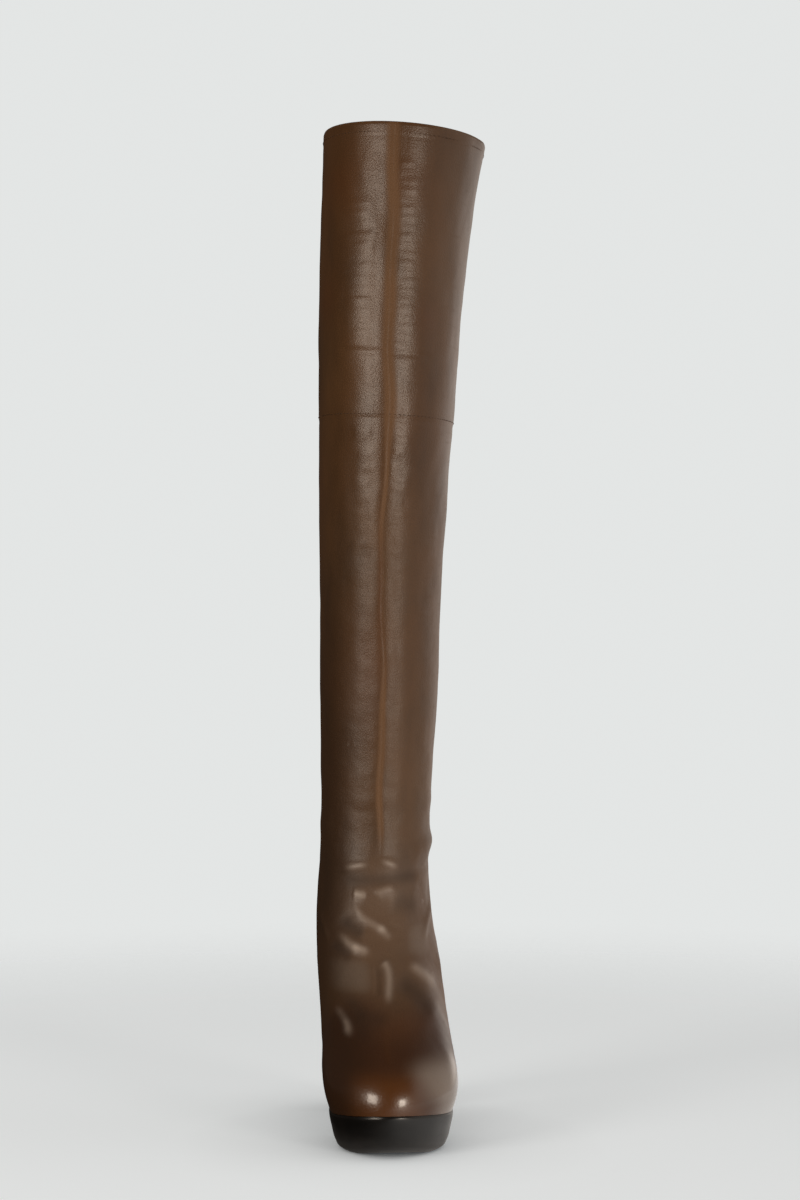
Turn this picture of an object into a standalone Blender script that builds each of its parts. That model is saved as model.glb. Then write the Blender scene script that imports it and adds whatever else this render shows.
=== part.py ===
"""Tall platform boot, the wearer's left one, as separate solids: upper, sole, heel, heel lift and insole.

Metres, +Z up, the floor at z = 0. The toe points along -Y and the outer side of the leg is +X.
Stations along the foot are measured forward from the heel's back, as a last maker does.
"""

import math

import bmesh
import bpy
import numpy as np

MM = 0.001

# Driving sizes
FOOT_LENGTH = 232 * MM
BALL_WIDTH = 81 * MM
HEEL_SEAT_HEIGHT = 99 * MM
PLATFORM_HEIGHT = 24 * MM
TOE_SPRING = 8.5 * MM
ANKLE_HEIGHT = 178 * MM
KNEE_SEAM_HEIGHT = 488 * MM
COLLAR_HEIGHT = 690 * MM
WALL = 2.0 * MM
GAP = 0.3 * MM

# Where the middle of the whole boot's box lies in the maker's stations
CENTRE_FORWARD = 101.0 * MM
CENTRE_ACROSS = 19.2 * MM

# Upper relief: the panel above the knee seam, the folded collar edge and the raised front seam
THIGH_PANEL_STEP = 0.6 * MM
COLLAR_FOLD_STEP = 0.6 * MM
COLLAR_FOLD_HEIGHT = 9 * MM
STEP_RUN = 1.2 * MM
FRONT_SEAM_RIDGE = 0.9 * MM
FRONT_SEAM_FOOT = 0.55
FRONT_SEAM_FADE = 0.15

# Sole
WAIST_THICKNESS = 5 * MM
TREAD_BACK = 148 * MM
TREAD_FRONT = 194 * MM
PLATFORM_BACK_CURVE = 35.0
SOLE_MARGIN = 0.4 * MM

# Heel and insole
HEEL_BREAST_ANGLE = 126
HEEL_LIFT_HEIGHT = 6 * MM
HEEL_TOP_INSET = 1.2 * MM
HEEL_FOOT_SCALE_ACROSS = 0.74
HEEL_FOOT_SCALE_ALONG = 0.76
HEEL_FOOT_SHIFT = -1.0 * MM
HEEL_FLARE = 0.7
INSOLE_THICKNESS = 2.2 * MM
INSOLE_MARGIN = 0.6 * MM

# Column angles round the boot: 0 at the toe and front seam, 180 at the heel back
SEAM_ANGLE = 3
HALF_ANGLES = [SEAM_ANGLE, 10] + list(range(20, 180, 8))

# How far the columns gather toward the front on their way from the sole to the shaft, in degrees
COLUMN_LEAN = 35

# Small turn used to read the feather line's direction
ANGLE_STEP = 0.5

# Feather line, where upper meets sole: angle, then shares of the foot length and the ball width
FEATHER = np.array([
    # angle, forward, inner, outer
    [0, 1.000, 0.000, 0.000],
    [15, 0.986, 0.142, 0.154],
    [30, 0.948, 0.272, 0.302],
    [45, 0.894, 0.370, 0.426],
    [60, 0.824, 0.446, 0.519],
    [75, 0.728, 0.460, 0.552],
    [90, 0.620, 0.420, 0.520],
    [105, 0.496, 0.372, 0.460],
    [120, 0.362, 0.346, 0.398],
    [135, 0.237, 0.345, 0.365],
    [150, 0.125, 0.333, 0.340],
    [165, 0.036, 0.210, 0.210],
    [180, 0.000, 0.000, 0.000],
])

# Top of the sole: share of the foot length, then share of the drop from heel seat to ball
SOLE_LINE = np.array([
    # forward, height
    [0.00, 1.000],
    [0.09, 0.980],
    [0.19, 0.940],
    [0.28, 0.840],
    [0.37, 0.680],
    [0.45, 0.490],
    [0.54, 0.270],
    [0.62, 0.110],
    [0.69, 0.030],
    [0.76, 0.000],
    [0.84, 0.006],
    [0.92, 0.030],
    [1.00, 0.064],
])

# Level sections of the shaft, in millimetres and degrees; twist turns the front seam to the inner side
SHAFT = np.array([
    # height, front, back, half_width, centre, twist, tilt
    [178, 99.0, 1.0, 38.6, 0.2, 0.0, 0.0],
    [193, 97.5, 2.5, 38.6, 0.6, 0.0, 0.2],
    [215, 97.5, 2.0, 38.4, 1.2, 0.0, 0.4],
    [245, 99.5, -2.5, 39.4, 2.1, 0.0, 0.6],
    [292, 103.0, -13.0, 41.6, 3.8, 0.0, 1.0],
    [363, 107.5, -26.0, 43.0, 5.2, 0.6, 1.6],
    [434, 112.5, -28.5, 45.5, 7.0, 1.3, 2.2],
    [505, 118.0, -24.5, 48.2, 9.5, 2.3, 2.8],
    [576, 121.5, -24.5, 50.9, 12.2, 4.2, 3.1],
    [647, 123.5, -27.5, 54.0, 17.6, 6.8, 3.4],
    [690, 124.0, -30.5, 57.2, 22.2, 9.6, 3.6],
])

# Rings that shape the foot between feather line and ankle. Each value has a toe, ball, waist and heel figure:
# share of the way from feather to ankle, swell outward and rise above the feather line in millimetres.
RING_ANGLES = (0, 70, 115, 180)
FOOT_RINGS = [
    {"share": (0.0, 0.0, 0.0, 0.0), "swell": (1.5, 5.2, 8.5, 5.5), "rise": (11.0, 13.0, 14.0, 18.0)},
    {"share": (0.05, 0.06, 0.12, 0.3), "swell": (-1.0, 5.3, 10.8, 4.9), "rise": (29.0, 28.5, 30.0, 34.0)},
    {"share": (0.46, 0.40, 0.50, 0.65), "swell": (1.0, 6.2, 8.5, 1.7), "rise": (55.0, 48.0, 47.0, 46.0)},
]

# The last ring before the ankle: drop below it and swell outward
INSTEP_DROP = (59.0, 52.0, 36.0, 22.0)
INSTEP_SWELL = (0.0, 2.5, 1.8, 0.0)

# Heights of the shaft's rows as shares from ankle to knee seam and from knee seam to collar
LOWER_SHAFT_ROWS = 11
UPPER_SHAFT_ROWS = 6
FOOT_ROW_SHARES = [0, 0.05, 0.11, 0.17, 0.23, 0.30, 0.37, 0.44, 0.51, 0.58, 0.66, 0.74, 0.82, 0.91]

# Side of the sole: share of the way down, then inset as a share of the platform height
SOLE_SIDE = [(0.0, 0.0), (0.07, 0.0), (0.45, 0.07), (0.80, 0.17), (0.93, 0.25), (1.0, 0.38)]
HEEL_SIDE = [0.0, 0.12, 0.3, 0.55, 0.8, 1.0]
BREAST_POINTS = 6
BREAST_HOLLOW = 3.0 * MM

# Finish of each piece: base colour and roughness
LEATHER = ((0.115, 0.052, 0.024, 1.0), 0.42)
LACQUER = ((0.018, 0.013, 0.011, 1.0), 0.30)
RUBBER = ((0.012, 0.011, 0.011, 1.0), 0.60)
LINING = ((0.26, 0.15, 0.08, 1.0), 0.70)
SHARP_EDGE = math.radians(40)


def smooth(xs, ys, at):
    """Cubic curve through a table, with the slopes that its neighbours give."""
    xs, ys = np.asarray(xs, float), np.asarray(ys, float)
    slopes = np.gradient(ys, xs)
    at = np.clip(np.asarray(at, float), xs[0], xs[-1])
    i = np.clip(np.searchsorted(xs, at, side="right") - 1, 0, len(xs) - 2)
    run = xs[i + 1] - xs[i]
    t = (at - xs[i]) / run
    start, end = ys[i], ys[i + 1]
    lift = run * slopes[i]
    land = run * slopes[i + 1]
    return (start + t * lift
            + t * t * (3 * (end - start) - 2 * lift - land)
            + t ** 3 * (2 * (start - end) + lift + land))


def mirrored(column, sign):
    """A feather column carried past both ends, so that its curve runs smoothly through toe and heel."""
    angles, values = FEATHER[:, 0], FEATHER[:, column]
    wide = np.concatenate([-angles[3:0:-1], angles, 360 - angles[-2:-5:-1]])
    both = np.concatenate([sign * values[3:0:-1], values, sign * values[-2:-5:-1]])
    return wide, both


def feather(angle):
    """Across and forward place of the feather line at an angle in degrees, positive on the outer side."""
    size = abs(angle)
    forward = float(smooth(*mirrored(1, 1), size)) * FOOT_LENGTH
    side = 2 if angle < 0 else 3
    half = float(smooth(*mirrored(side, -1), size)) * BALL_WIDTH
    return math.copysign(half, angle), forward


def feather_outward(angle):
    """Level unit vector that points out of the feather line."""
    before, after = feather(angle - ANGLE_STEP), feather(angle + ANGLE_STEP)
    along = np.subtract(after, before)
    out = np.array([along[1], -along[0]]) / np.linalg.norm(along)
    middle = np.array([0.0, 0.5 * FOOT_LENGTH])
    return out if out @ (np.array(feather(angle)) - middle) > 0 else -out


def inset_feather(angle, inset):
    """Feather line moved inward by a distance."""
    return np.array(feather(angle)) - feather_outward(angle) * inset


def sole_top(forward):
    """Height of the sole's upper face at a station."""
    share = smooth(SOLE_LINE[:, 0], SOLE_LINE[:, 1], forward / FOOT_LENGTH)
    return PLATFORM_HEIGHT + share * (HEEL_SEAT_HEIGHT - PLATFORM_HEIGHT)


def sole_bottom(forward):
    """Height of the sole's lower face: toe spring, flat tread, platform's back curve and thin waist."""
    toe = TOE_SPRING * max(0.0, (forward - TREAD_FRONT) / (FOOT_LENGTH - TREAD_FRONT)) ** 2
    back = PLATFORM_BACK_CURVE * max(0.0, TREAD_BACK - forward) ** 2
    return min(toe + back, float(sole_top(forward)) - WAIST_THICKNESS)


def shaft_point(angle, height):
    """Point of the shaft's outer form, level ring by level ring."""
    row = [float(smooth(SHAFT[:, 0] * MM, SHAFT[:, i], height)) for i in range(1, SHAFT.shape[1])]
    front, back, half, centre, twist, tilt = row
    gathered = math.radians(angle - COLUMN_LEAN * math.sin(math.radians(angle)))
    turn = math.radians(twist)
    side = half * math.sin(gathered)
    ahead = (front - back) / 2 * math.cos(gathered)
    across = side * math.cos(turn) - ahead * math.sin(turn)
    forward = (front + back) / 2 + ahead * math.cos(turn) + side * math.sin(turn)
    drop = math.tan(math.radians(tilt)) * across
    return np.array([(centre + across) * MM, forward * MM, height - drop * MM])


def by_angle(figures, angle):
    """A toe, ball, waist and heel figure eased from one to the next round the boot."""
    size = abs(angle)
    i = min(int(np.searchsorted(RING_ANGLES, size, side="right")) - 1, len(figures) - 2)
    share = (size - RING_ANGLES[i]) / (RING_ANGLES[i + 1] - RING_ANGLES[i])
    eased = share * share * (3 - 2 * share)
    return figures[i] + (figures[i + 1] - figures[i]) * eased


def spline_weights(u, count):
    """Weights of a clamped cubic spline's control points at u from 0 to 1."""
    inner = np.linspace(0, 1, count - 2)
    knots = np.concatenate([[0, 0, 0], inner, [1, 1, 1]])
    u = min(u, 1 - 1e-9)
    weights = np.array([float(knots[i] <= u < knots[i + 1]) for i in range(len(knots) - 1)])
    for degree in range(1, 4):
        raised = []
        for i in range(len(weights) - 1):
            left_run = knots[i + degree] - knots[i]
            right_run = knots[i + degree + 1] - knots[i + 1]
            left = (u - knots[i]) / left_run * weights[i] if left_run else 0.0
            right = (knots[i + degree + 1] - u) / right_run * weights[i + 1] if right_run else 0.0
            raised.append(left + right)
        weights = np.array(raised)
    return weights


def foot_controls(angle):
    """Control points of the foot's outer form for one column, feather line first and ankle last."""
    start_across, start_forward = feather(angle)
    start = np.array([start_across, start_forward, float(sole_top(start_forward)) + GAP])
    ankle = shaft_point(angle, ANKLE_HEIGHT)
    up = shaft_point(angle, ANKLE_HEIGHT + MM) - ankle
    out = feather_outward(angle)
    points = [start]
    for ring in FOOT_RINGS:
        point = start + (ankle - start) * by_angle(ring["share"], angle)
        point[:2] += out * by_angle(ring["swell"], angle) * MM
        point[2] = start[2] + by_angle(ring["rise"], angle) * MM
        points.append(point)
    instep = ankle - up / np.linalg.norm(up) * by_angle(INSTEP_DROP, angle) * MM
    instep[:2] += out * by_angle(INSTEP_SWELL, angle) * MM
    points.append(instep)
    points.append(ankle)
    return np.array(points)


def shaft_heights():
    """Row heights of the shaft with a close pair at the knee seam and at the folded collar edge."""
    lower = np.linspace(ANKLE_HEIGHT, KNEE_SEAM_HEIGHT, LOWER_SHAFT_ROWS + 1)
    fold = COLLAR_HEIGHT - COLLAR_FOLD_HEIGHT
    upper = np.linspace(KNEE_SEAM_HEIGHT + STEP_RUN, fold, UPPER_SHAFT_ROWS + 1)
    return np.concatenate([lower, upper, [fold + STEP_RUN, COLLAR_HEIGHT - STEP_RUN, COLLAR_HEIGHT]])


def column_angles():
    """Every column's angle, from the heel back round the inner side, the toe and the outer side."""
    inner = [-a for a in reversed(HALF_ANGLES)]
    return [-180] + inner + [0] + HALF_ANGLES


def upper_form():
    """The upper's outer form without relief, as rows of points from feather line to collar."""
    angles = column_angles()
    controls = np.array([foot_controls(a) for a in angles])
    rows = []
    for share in FOOT_ROW_SHARES:
        weights = spline_weights(share, controls.shape[1])
        rows.append(np.einsum("c,jcd->jd", weights, controls))
    for height in shaft_heights():
        rows.append(np.array([shaft_point(a, height) for a in angles]))
    return np.array(rows)


def outward_normals(form):
    """Unit normals of a form whose rows are closed rings."""
    along = np.roll(form, -1, axis=1) - np.roll(form, 1, axis=1)
    rising = np.gradient(form, axis=0)
    normals = np.cross(rising, along)
    return normals / np.linalg.norm(normals, axis=2, keepdims=True)


def upper_relief():
    """How far each point of the upper's outside stands proud of its plain form."""
    foot = np.zeros(len(FOOT_ROW_SHARES))
    heights = shaft_heights()
    panel = np.where(heights > KNEE_SEAM_HEIGHT + STEP_RUN / 2, THIGH_PANEL_STEP, 0.0)
    folded = heights > COLLAR_HEIGHT - COLLAR_FOLD_HEIGHT + STEP_RUN / 2
    fold = np.where(folded, COLLAR_FOLD_STEP, 0.0)
    fold[-1] = 0.0
    rows = np.concatenate([foot, panel + fold])
    angles = np.array(column_angles())
    seam = np.where(angles == 0, FRONT_SEAM_RIDGE, 0.0)
    seamed = np.ones(len(rows))
    seamed[:len(foot)] = np.clip((np.array(FOOT_ROW_SHARES) - FRONT_SEAM_FOOT) / FRONT_SEAM_FADE, 0, 1)
    return rows[:, None] + seamed[:, None] * seam[None, :]


def placed(points):
    """Maker's stations as scene coordinates, with the box's bottom centre at the origin."""
    points = np.asarray(points, float)
    return np.stack([points[..., 0] - CENTRE_ACROSS, CENTRE_FORWARD - points[..., 1], points[..., 2]], axis=-1)


def material(name, finish):
    """Principled material of a plain colour."""
    colour, roughness = finish
    made = bpy.data.materials.new(name)
    made.use_nodes = True
    shader = made.node_tree.nodes["Principled BSDF"]
    shader.inputs["Base Color"].default_value = colour
    shader.inputs["Roughness"].default_value = roughness
    shader.inputs["Metallic"].default_value = 0.0
    return made


def solid(name, points, faces, finish):
    """One named object from points in maker's stations, with its faces turned outward."""
    mesh = bpy.data.meshes.new(name)
    mesh.from_pydata(placed(points).tolist(), [], faces)
    mesh.materials.append(finish)
    shape = bmesh.new()
    shape.from_mesh(mesh)
    bmesh.ops.recalc_face_normals(shape, faces=shape.faces)
    shape.to_mesh(mesh)
    shape.free()
    mesh.shade_smooth()
    mesh.set_sharp_from_angle(angle=SHARP_EDGE)
    made = bpy.data.objects.new(name, mesh)
    bpy.context.scene.collection.objects.link(made)
    return made


def ring_faces(low, high, count):
    """Faces between two closed rings of points, given each ring's first index."""
    following = [(j + 1) % count for j in range(count)]
    return [(low + j, low + k, high + k, high + j) for j, k in enumerate(following)]


def upper():
    """Vamp and shaft as one hollow wall, open at the collar and under the foot."""
    form = upper_form()
    normals = outward_normals(form)
    outside = form + normals * upper_relief()[..., None]
    inside = form - normals * WALL
    for j, angle in enumerate(column_angles()):
        across, forward = inset_feather(angle, WALL)
        inside[0, j] = across, forward, float(sole_top(forward)) + GAP
    inside[-1, :, 2] = outside[-1, :, 2]
    rows, count = form.shape[:2]
    layer = rows * count
    faces = []
    for i in range(rows - 1):
        low, high = i * count, (i + 1) * count
        faces += ring_faces(low, high, count)
        faces += ring_faces(low + layer, high + layer, count)
    faces += ring_faces(layer - count, 2 * layer - count, count)
    faces += ring_faces(0, layer, count)
    points = np.concatenate([outside.reshape(-1, 3), inside.reshape(-1, 3)])
    return solid("upper", points, faces, material("brown_leather", LEATHER))


def across_faces(start, count):
    """Faces that close a ring of columns, from the inner side straight across to the outer side."""
    faces = []
    for step in range(count // 2):
        inner = [start + step, start + step + 1]
        outer = [start + (count - step - 1) % count, start + (count - step) % count]
        faces.append(tuple(dict.fromkeys(inner + outer)))
    return faces


def layered_solid(name, rings, finish):
    """Solid from rings of equal count, top ring first, closed across at both ends."""
    count = len(rings[0])
    last = (len(rings) - 1) * count
    faces = across_faces(0, count) + across_faces(last, count)
    for low in range(0, last, count):
        faces += ring_faces(low, low + count, count)
    return solid(name, np.concatenate(rings), faces, finish)


def platform_sole():
    """Platform under the forefoot, running on as a thin sole through the waist to the heel seat."""
    rings = []
    for share, inset_share in SOLE_SIDE:
        ring = []
        for angle in column_angles():
            edge = inset_feather(angle, -SOLE_MARGIN)
            thickness = float(sole_top(edge[1])) - sole_bottom(edge[1])
            inset = inset_share * thickness
            across, forward = inset_feather(angle, inset - SOLE_MARGIN)
            top, bottom = float(sole_top(forward)), sole_bottom(forward)
            ring.append((across, forward, top + (bottom - top) * share))
        rings.append(np.array(ring))
    return layered_solid("platform_sole", rings, material("dark_lacquer", LACQUER))


def heel_loop(inset, scale_across, scale_along, shift):
    """Plan of the heel: the sole's outline round the back, then a hollowed breast line across the front."""
    angles = [a for a in column_angles() if abs(a) > HEEL_BREAST_ANGLE]
    outer = [a for a in angles if a > 0]
    inner = [a for a in angles if a < 0]
    back = [inset_feather(a, inset) for a in outer + inner]
    start, end = back[-1], back[0]
    shares = np.linspace(0, 1, BREAST_POINTS + 2)[1:-1]
    breast = [start + (end - start) * s - [0, BREAST_HOLLOW * math.sin(math.pi * s)] for s in shares]
    plan = np.array(back + breast)
    middle = np.array([0.0, plan[:, 1].mean()])
    return middle + (plan - middle) * [scale_across, scale_along] + [0, shift]


def heel_ring(share, height_of):
    """Ring of the heel at a share of the way down from the heel seat to the floor."""
    across = 1 + (HEEL_FOOT_SCALE_ACROSS - 1) * share ** HEEL_FLARE
    along = 1 + (HEEL_FOOT_SCALE_ALONG - 1) * share ** HEEL_FLARE
    plan = heel_loop(HEEL_TOP_INSET, across, along, HEEL_FOOT_SHIFT * share)
    return np.array([(x, f, height_of(f)) for x, f in plan])


def capped_solid(name, rings, finish):
    """Solid from rings that close with one face at each end."""
    count = len(rings[0])
    last = (len(rings) - 1) * count
    faces = [tuple(range(count)), tuple(range(last, last + count))]
    for low in range(0, last, count):
        faces += ring_faces(low, low + count, count)
    return solid(name, np.concatenate(rings), faces, finish)


def heel():
    """Heel block from the sole's heel seat down to the lift."""
    foot = HEEL_LIFT_HEIGHT + GAP
    rings = []
    for share in HEEL_SIDE:
        def height(forward, share=share):
            seat = sole_bottom(forward) - GAP
            return seat + (foot - seat) * share
        rings.append(heel_ring(share, height))
    return capped_solid("heel", rings, material("heel_lacquer", LACQUER))


def heel_lift():
    """Wearing piece under the heel block."""
    rings = [heel_ring(1.0, lambda forward, z=z: z) for z in (HEEL_LIFT_HEIGHT, 0.0)]
    return capped_solid("heel_lift", rings, material("lift_rubber", RUBBER))


def insole():
    """Board that closes the foot inside, on top of the sole."""
    rings = []
    for rise in (GAP + INSOLE_THICKNESS, GAP):
        ring = []
        for angle in column_angles():
            across, forward = inset_feather(angle, WALL + INSOLE_MARGIN)
            ring.append((across, forward, float(sole_top(forward)) + rise))
        rings.append(np.array(ring))
    return layered_solid("insole", rings, material("insole_leather", LINING))


def main():
    for old in list(bpy.data.objects):
        bpy.data.objects.remove(old)
    boot = bpy.data.objects.new("left_boot", None)
    bpy.context.scene.collection.objects.link(boot)
    for make in (upper, platform_sole, heel, heel_lift, insole):
        make().parent = boot


main()
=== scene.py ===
"""Looks of one tall brown leather boot, the wearer's left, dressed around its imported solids.

Metres, +Z up, the floor at z = 0, the toe along -Y and the outer side of the leg along +X.
The boot's own stations are across (outer side positive), forward from the heel's back, and height.
"""

import logging
import math
from dataclasses import dataclass, field
from enum import Enum

import bpy
import numpy as np
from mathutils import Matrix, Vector, noise


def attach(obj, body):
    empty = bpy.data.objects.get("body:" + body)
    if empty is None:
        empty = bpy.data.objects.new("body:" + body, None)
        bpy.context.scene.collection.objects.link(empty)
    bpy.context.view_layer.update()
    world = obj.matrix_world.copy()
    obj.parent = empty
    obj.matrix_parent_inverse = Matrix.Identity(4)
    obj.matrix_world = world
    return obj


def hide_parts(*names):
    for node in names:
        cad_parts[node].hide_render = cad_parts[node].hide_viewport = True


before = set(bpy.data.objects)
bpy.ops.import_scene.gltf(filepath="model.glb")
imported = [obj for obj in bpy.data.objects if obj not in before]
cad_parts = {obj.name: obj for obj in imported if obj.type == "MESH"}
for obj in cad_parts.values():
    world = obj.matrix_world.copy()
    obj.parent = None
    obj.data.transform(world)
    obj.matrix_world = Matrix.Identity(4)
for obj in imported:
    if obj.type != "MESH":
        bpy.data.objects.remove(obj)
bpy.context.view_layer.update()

LOG = logging.getLogger("boot")
MM = 0.001
BODY = "root"
SHARP_ANGLE = math.radians(50)
Array = np.ndarray
Colour = tuple[float, float, float]
Point = tuple[float, float, float]
Place = tuple[float, float]
Faces = list[tuple[int, ...]]
Socket = bpy.types.NodeSocket
EVEN = (1.0, 1.0, 1.0)


class Node(Enum):
    """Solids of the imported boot."""

    UPPER = "upper"
    PLATFORM = "platform_sole"
    HEEL = "heel"
    LIFT = "heel_lift"
    INSOLE = "insole"


class Slot(Enum):
    """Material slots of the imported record."""

    LEATHER = "brown_leather"
    PLATFORM = "platform_lacquer"
    HEEL = "heel_lacquer"
    LIFT = "lift_rubber"
    INSOLE = "insole_leather"


class Reach(Enum):
    """How the places of a fold are read on the upper."""

    FRONT = "across and height, as seen from the front"
    GIRTH = "way round the leg from the front seam, and height"
    BACK = "way round the leg from the back seam, and height"


def smooth(xs: Array, ys: Array, at: Array) -> Array:
    """Cubic curve through a table, with the slopes that its neighbours give.

    Args:
        xs: rising places of the table.
        ys: values at those places.
        at: places to read.

    Returns:
        Values at the places asked for.
    """
    xs, ys = np.asarray(xs, float), np.asarray(ys, float)
    slopes = np.gradient(ys, xs)
    at = np.clip(np.asarray(at, float), xs[0], xs[-1])
    i = np.clip(np.searchsorted(xs, at, side="right") - 1, 0, len(xs) - 2)
    run = xs[i + 1] - xs[i]
    t = (at - xs[i]) / run
    start, end = ys[i], ys[i + 1]
    lift, land = run * slopes[i], run * slopes[i + 1]
    bend = t * t * (3 * (end - start) - 2 * lift - land)
    return start + t * lift + bend + t ** 3 * (2 * (start - end) + lift + land)


def ease(low: float, high: float, value: Array) -> Array:
    """Soft step from 0 at low to 1 at high.

    Args:
        low: where the step starts.
        high: where it ends.
        value: places to read.

    Returns:
        Shares from 0 to 1.
    """
    t = np.clip((np.asarray(value, float) - low) / (high - low), 0, 1)
    return t * t * (3 - 2 * t)


def unit(vectors: Array) -> Array:
    """Vectors brought to length one."""
    return vectors / np.linalg.norm(vectors, axis=-1, keepdims=True)


@dataclass(frozen=True)
class Step:
    """Soft step from nothing at one place to its full height at another."""

    low: float
    high: float
    height: float = 1.0

    def at(self, value: Array, origin: float = 0.0) -> Array:
        """Height of the step over places that are counted from an origin."""
        return self.height * ease(self.low, self.high, value - origin)


@dataclass(frozen=True)
class Bell:
    """Soft rise round a middle; a higher power gives it a flatter top and steeper sides."""

    middle: float
    half: float
    power: int = 2
    height: float = 1.0

    def at(self, value: Array, origin: float = 0.0) -> Array:
        """Height of the rise over places that are counted from an origin."""
        return self.height * np.exp(-((value - origin - self.middle) / self.half) ** self.power)


@dataclass(frozen=True)
class Patch:
    """Soft patch seen from the front: middle, half width and half height, strength."""

    middle: Place
    halves: Place
    strength: float
    power: int = 2

    def at(self, across: Array, height: Array) -> Array:
        """Strength of the patch over places on the front."""
        wide, tall = (Bell(m, h, self.power) for m, h in zip(self.middle, self.halves))
        return self.strength * wide.at(across) * tall.at(height)


# Feather line, where upper meets sole: angle, then shares of the foot length and the ball width
FEATHER = np.array([
    # angle, forward, inner, outer
    [0, 1.000, 0.000, 0.000],
    [15, 0.986, 0.142, 0.154],
    [30, 0.948, 0.272, 0.302],
    [45, 0.894, 0.370, 0.426],
    [60, 0.824, 0.446, 0.519],
    [75, 0.728, 0.460, 0.552],
    [90, 0.620, 0.420, 0.520],
    [105, 0.496, 0.372, 0.460],
    [120, 0.362, 0.346, 0.398],
    [135, 0.237, 0.345, 0.365],
    [150, 0.125, 0.333, 0.340],
    [165, 0.036, 0.210, 0.210],
    [180, 0.000, 0.000, 0.000],
])

# Top of the sole: share of the foot length, then share of the drop from heel seat to ball
SOLE_LINE = np.array([
    # forward, height
    [0.00, 1.000],
    [0.09, 0.980],
    [0.19, 0.940],
    [0.28, 0.840],
    [0.37, 0.680],
    [0.45, 0.490],
    [0.54, 0.270],
    [0.62, 0.110],
    [0.69, 0.030],
    [0.76, 0.000],
    [0.84, 0.006],
    [0.92, 0.030],
    [1.00, 0.064],
])

# Level sections of the shaft, in millimetres and degrees
SHAFT = np.array([
    # height, front, back, half_width, centre, twist, tilt
    [178, 99.0, 1.0, 38.6, 0.2, 0.0, 0.0],
    [193, 97.5, 2.5, 38.6, 0.6, 0.0, 0.2],
    [215, 97.5, 2.0, 38.4, 1.2, 0.0, 0.4],
    [245, 99.5, -2.5, 39.4, 2.1, 0.0, 0.6],
    [292, 103.0, -13.0, 41.6, 3.8, 0.0, 1.0],
    [363, 107.5, -26.0, 43.0, 5.2, 0.6, 1.6],
    [434, 112.5, -28.5, 45.5, 7.0, 1.3, 2.2],
    [505, 118.0, -24.5, 48.2, 9.5, 2.3, 2.8],
    [576, 121.5, -24.5, 50.9, 12.2, 4.2, 3.1],
    [647, 123.5, -27.5, 54.0, 17.6, 6.8, 3.4],
    [690, 124.0, -30.5, 57.2, 22.2, 9.6, 3.6],
])

# Rings that shape the foot between feather line and ankle, each with a toe, ball, waist and heel figure
RING_ANGLES = (0, 70, 115, 180)
FOOT_RINGS = [
    {"share": (0.0, 0.0, 0.0, 0.0), "swell": (1.5, 5.2, 8.5, 5.5), "rise": (11.0, 13.0, 14.0, 18.0)},
    {"share": (0.05, 0.06, 0.12, 0.3), "swell": (-1.0, 5.3, 10.8, 4.9), "rise": (29.0, 28.5, 30.0, 34.0)},
    {"share": (0.46, 0.40, 0.50, 0.65), "swell": (1.0, 6.2, 8.5, 1.7), "rise": (55.0, 48.0, 47.0, 46.0)},
]
INSTEP_DROP = (59.0, 52.0, 36.0, 22.0)
INSTEP_SWELL = (0.0, 2.5, 1.8, 0.0)

# Side of the sole: share of the way down, then inset as a share of the sole's thickness there
SOLE_SIDE = np.array([(0.0, 0.0), (0.07, 0.0), (0.45, 0.07), (0.80, 0.17), (0.93, 0.25), (1.0, 0.38)])


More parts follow.
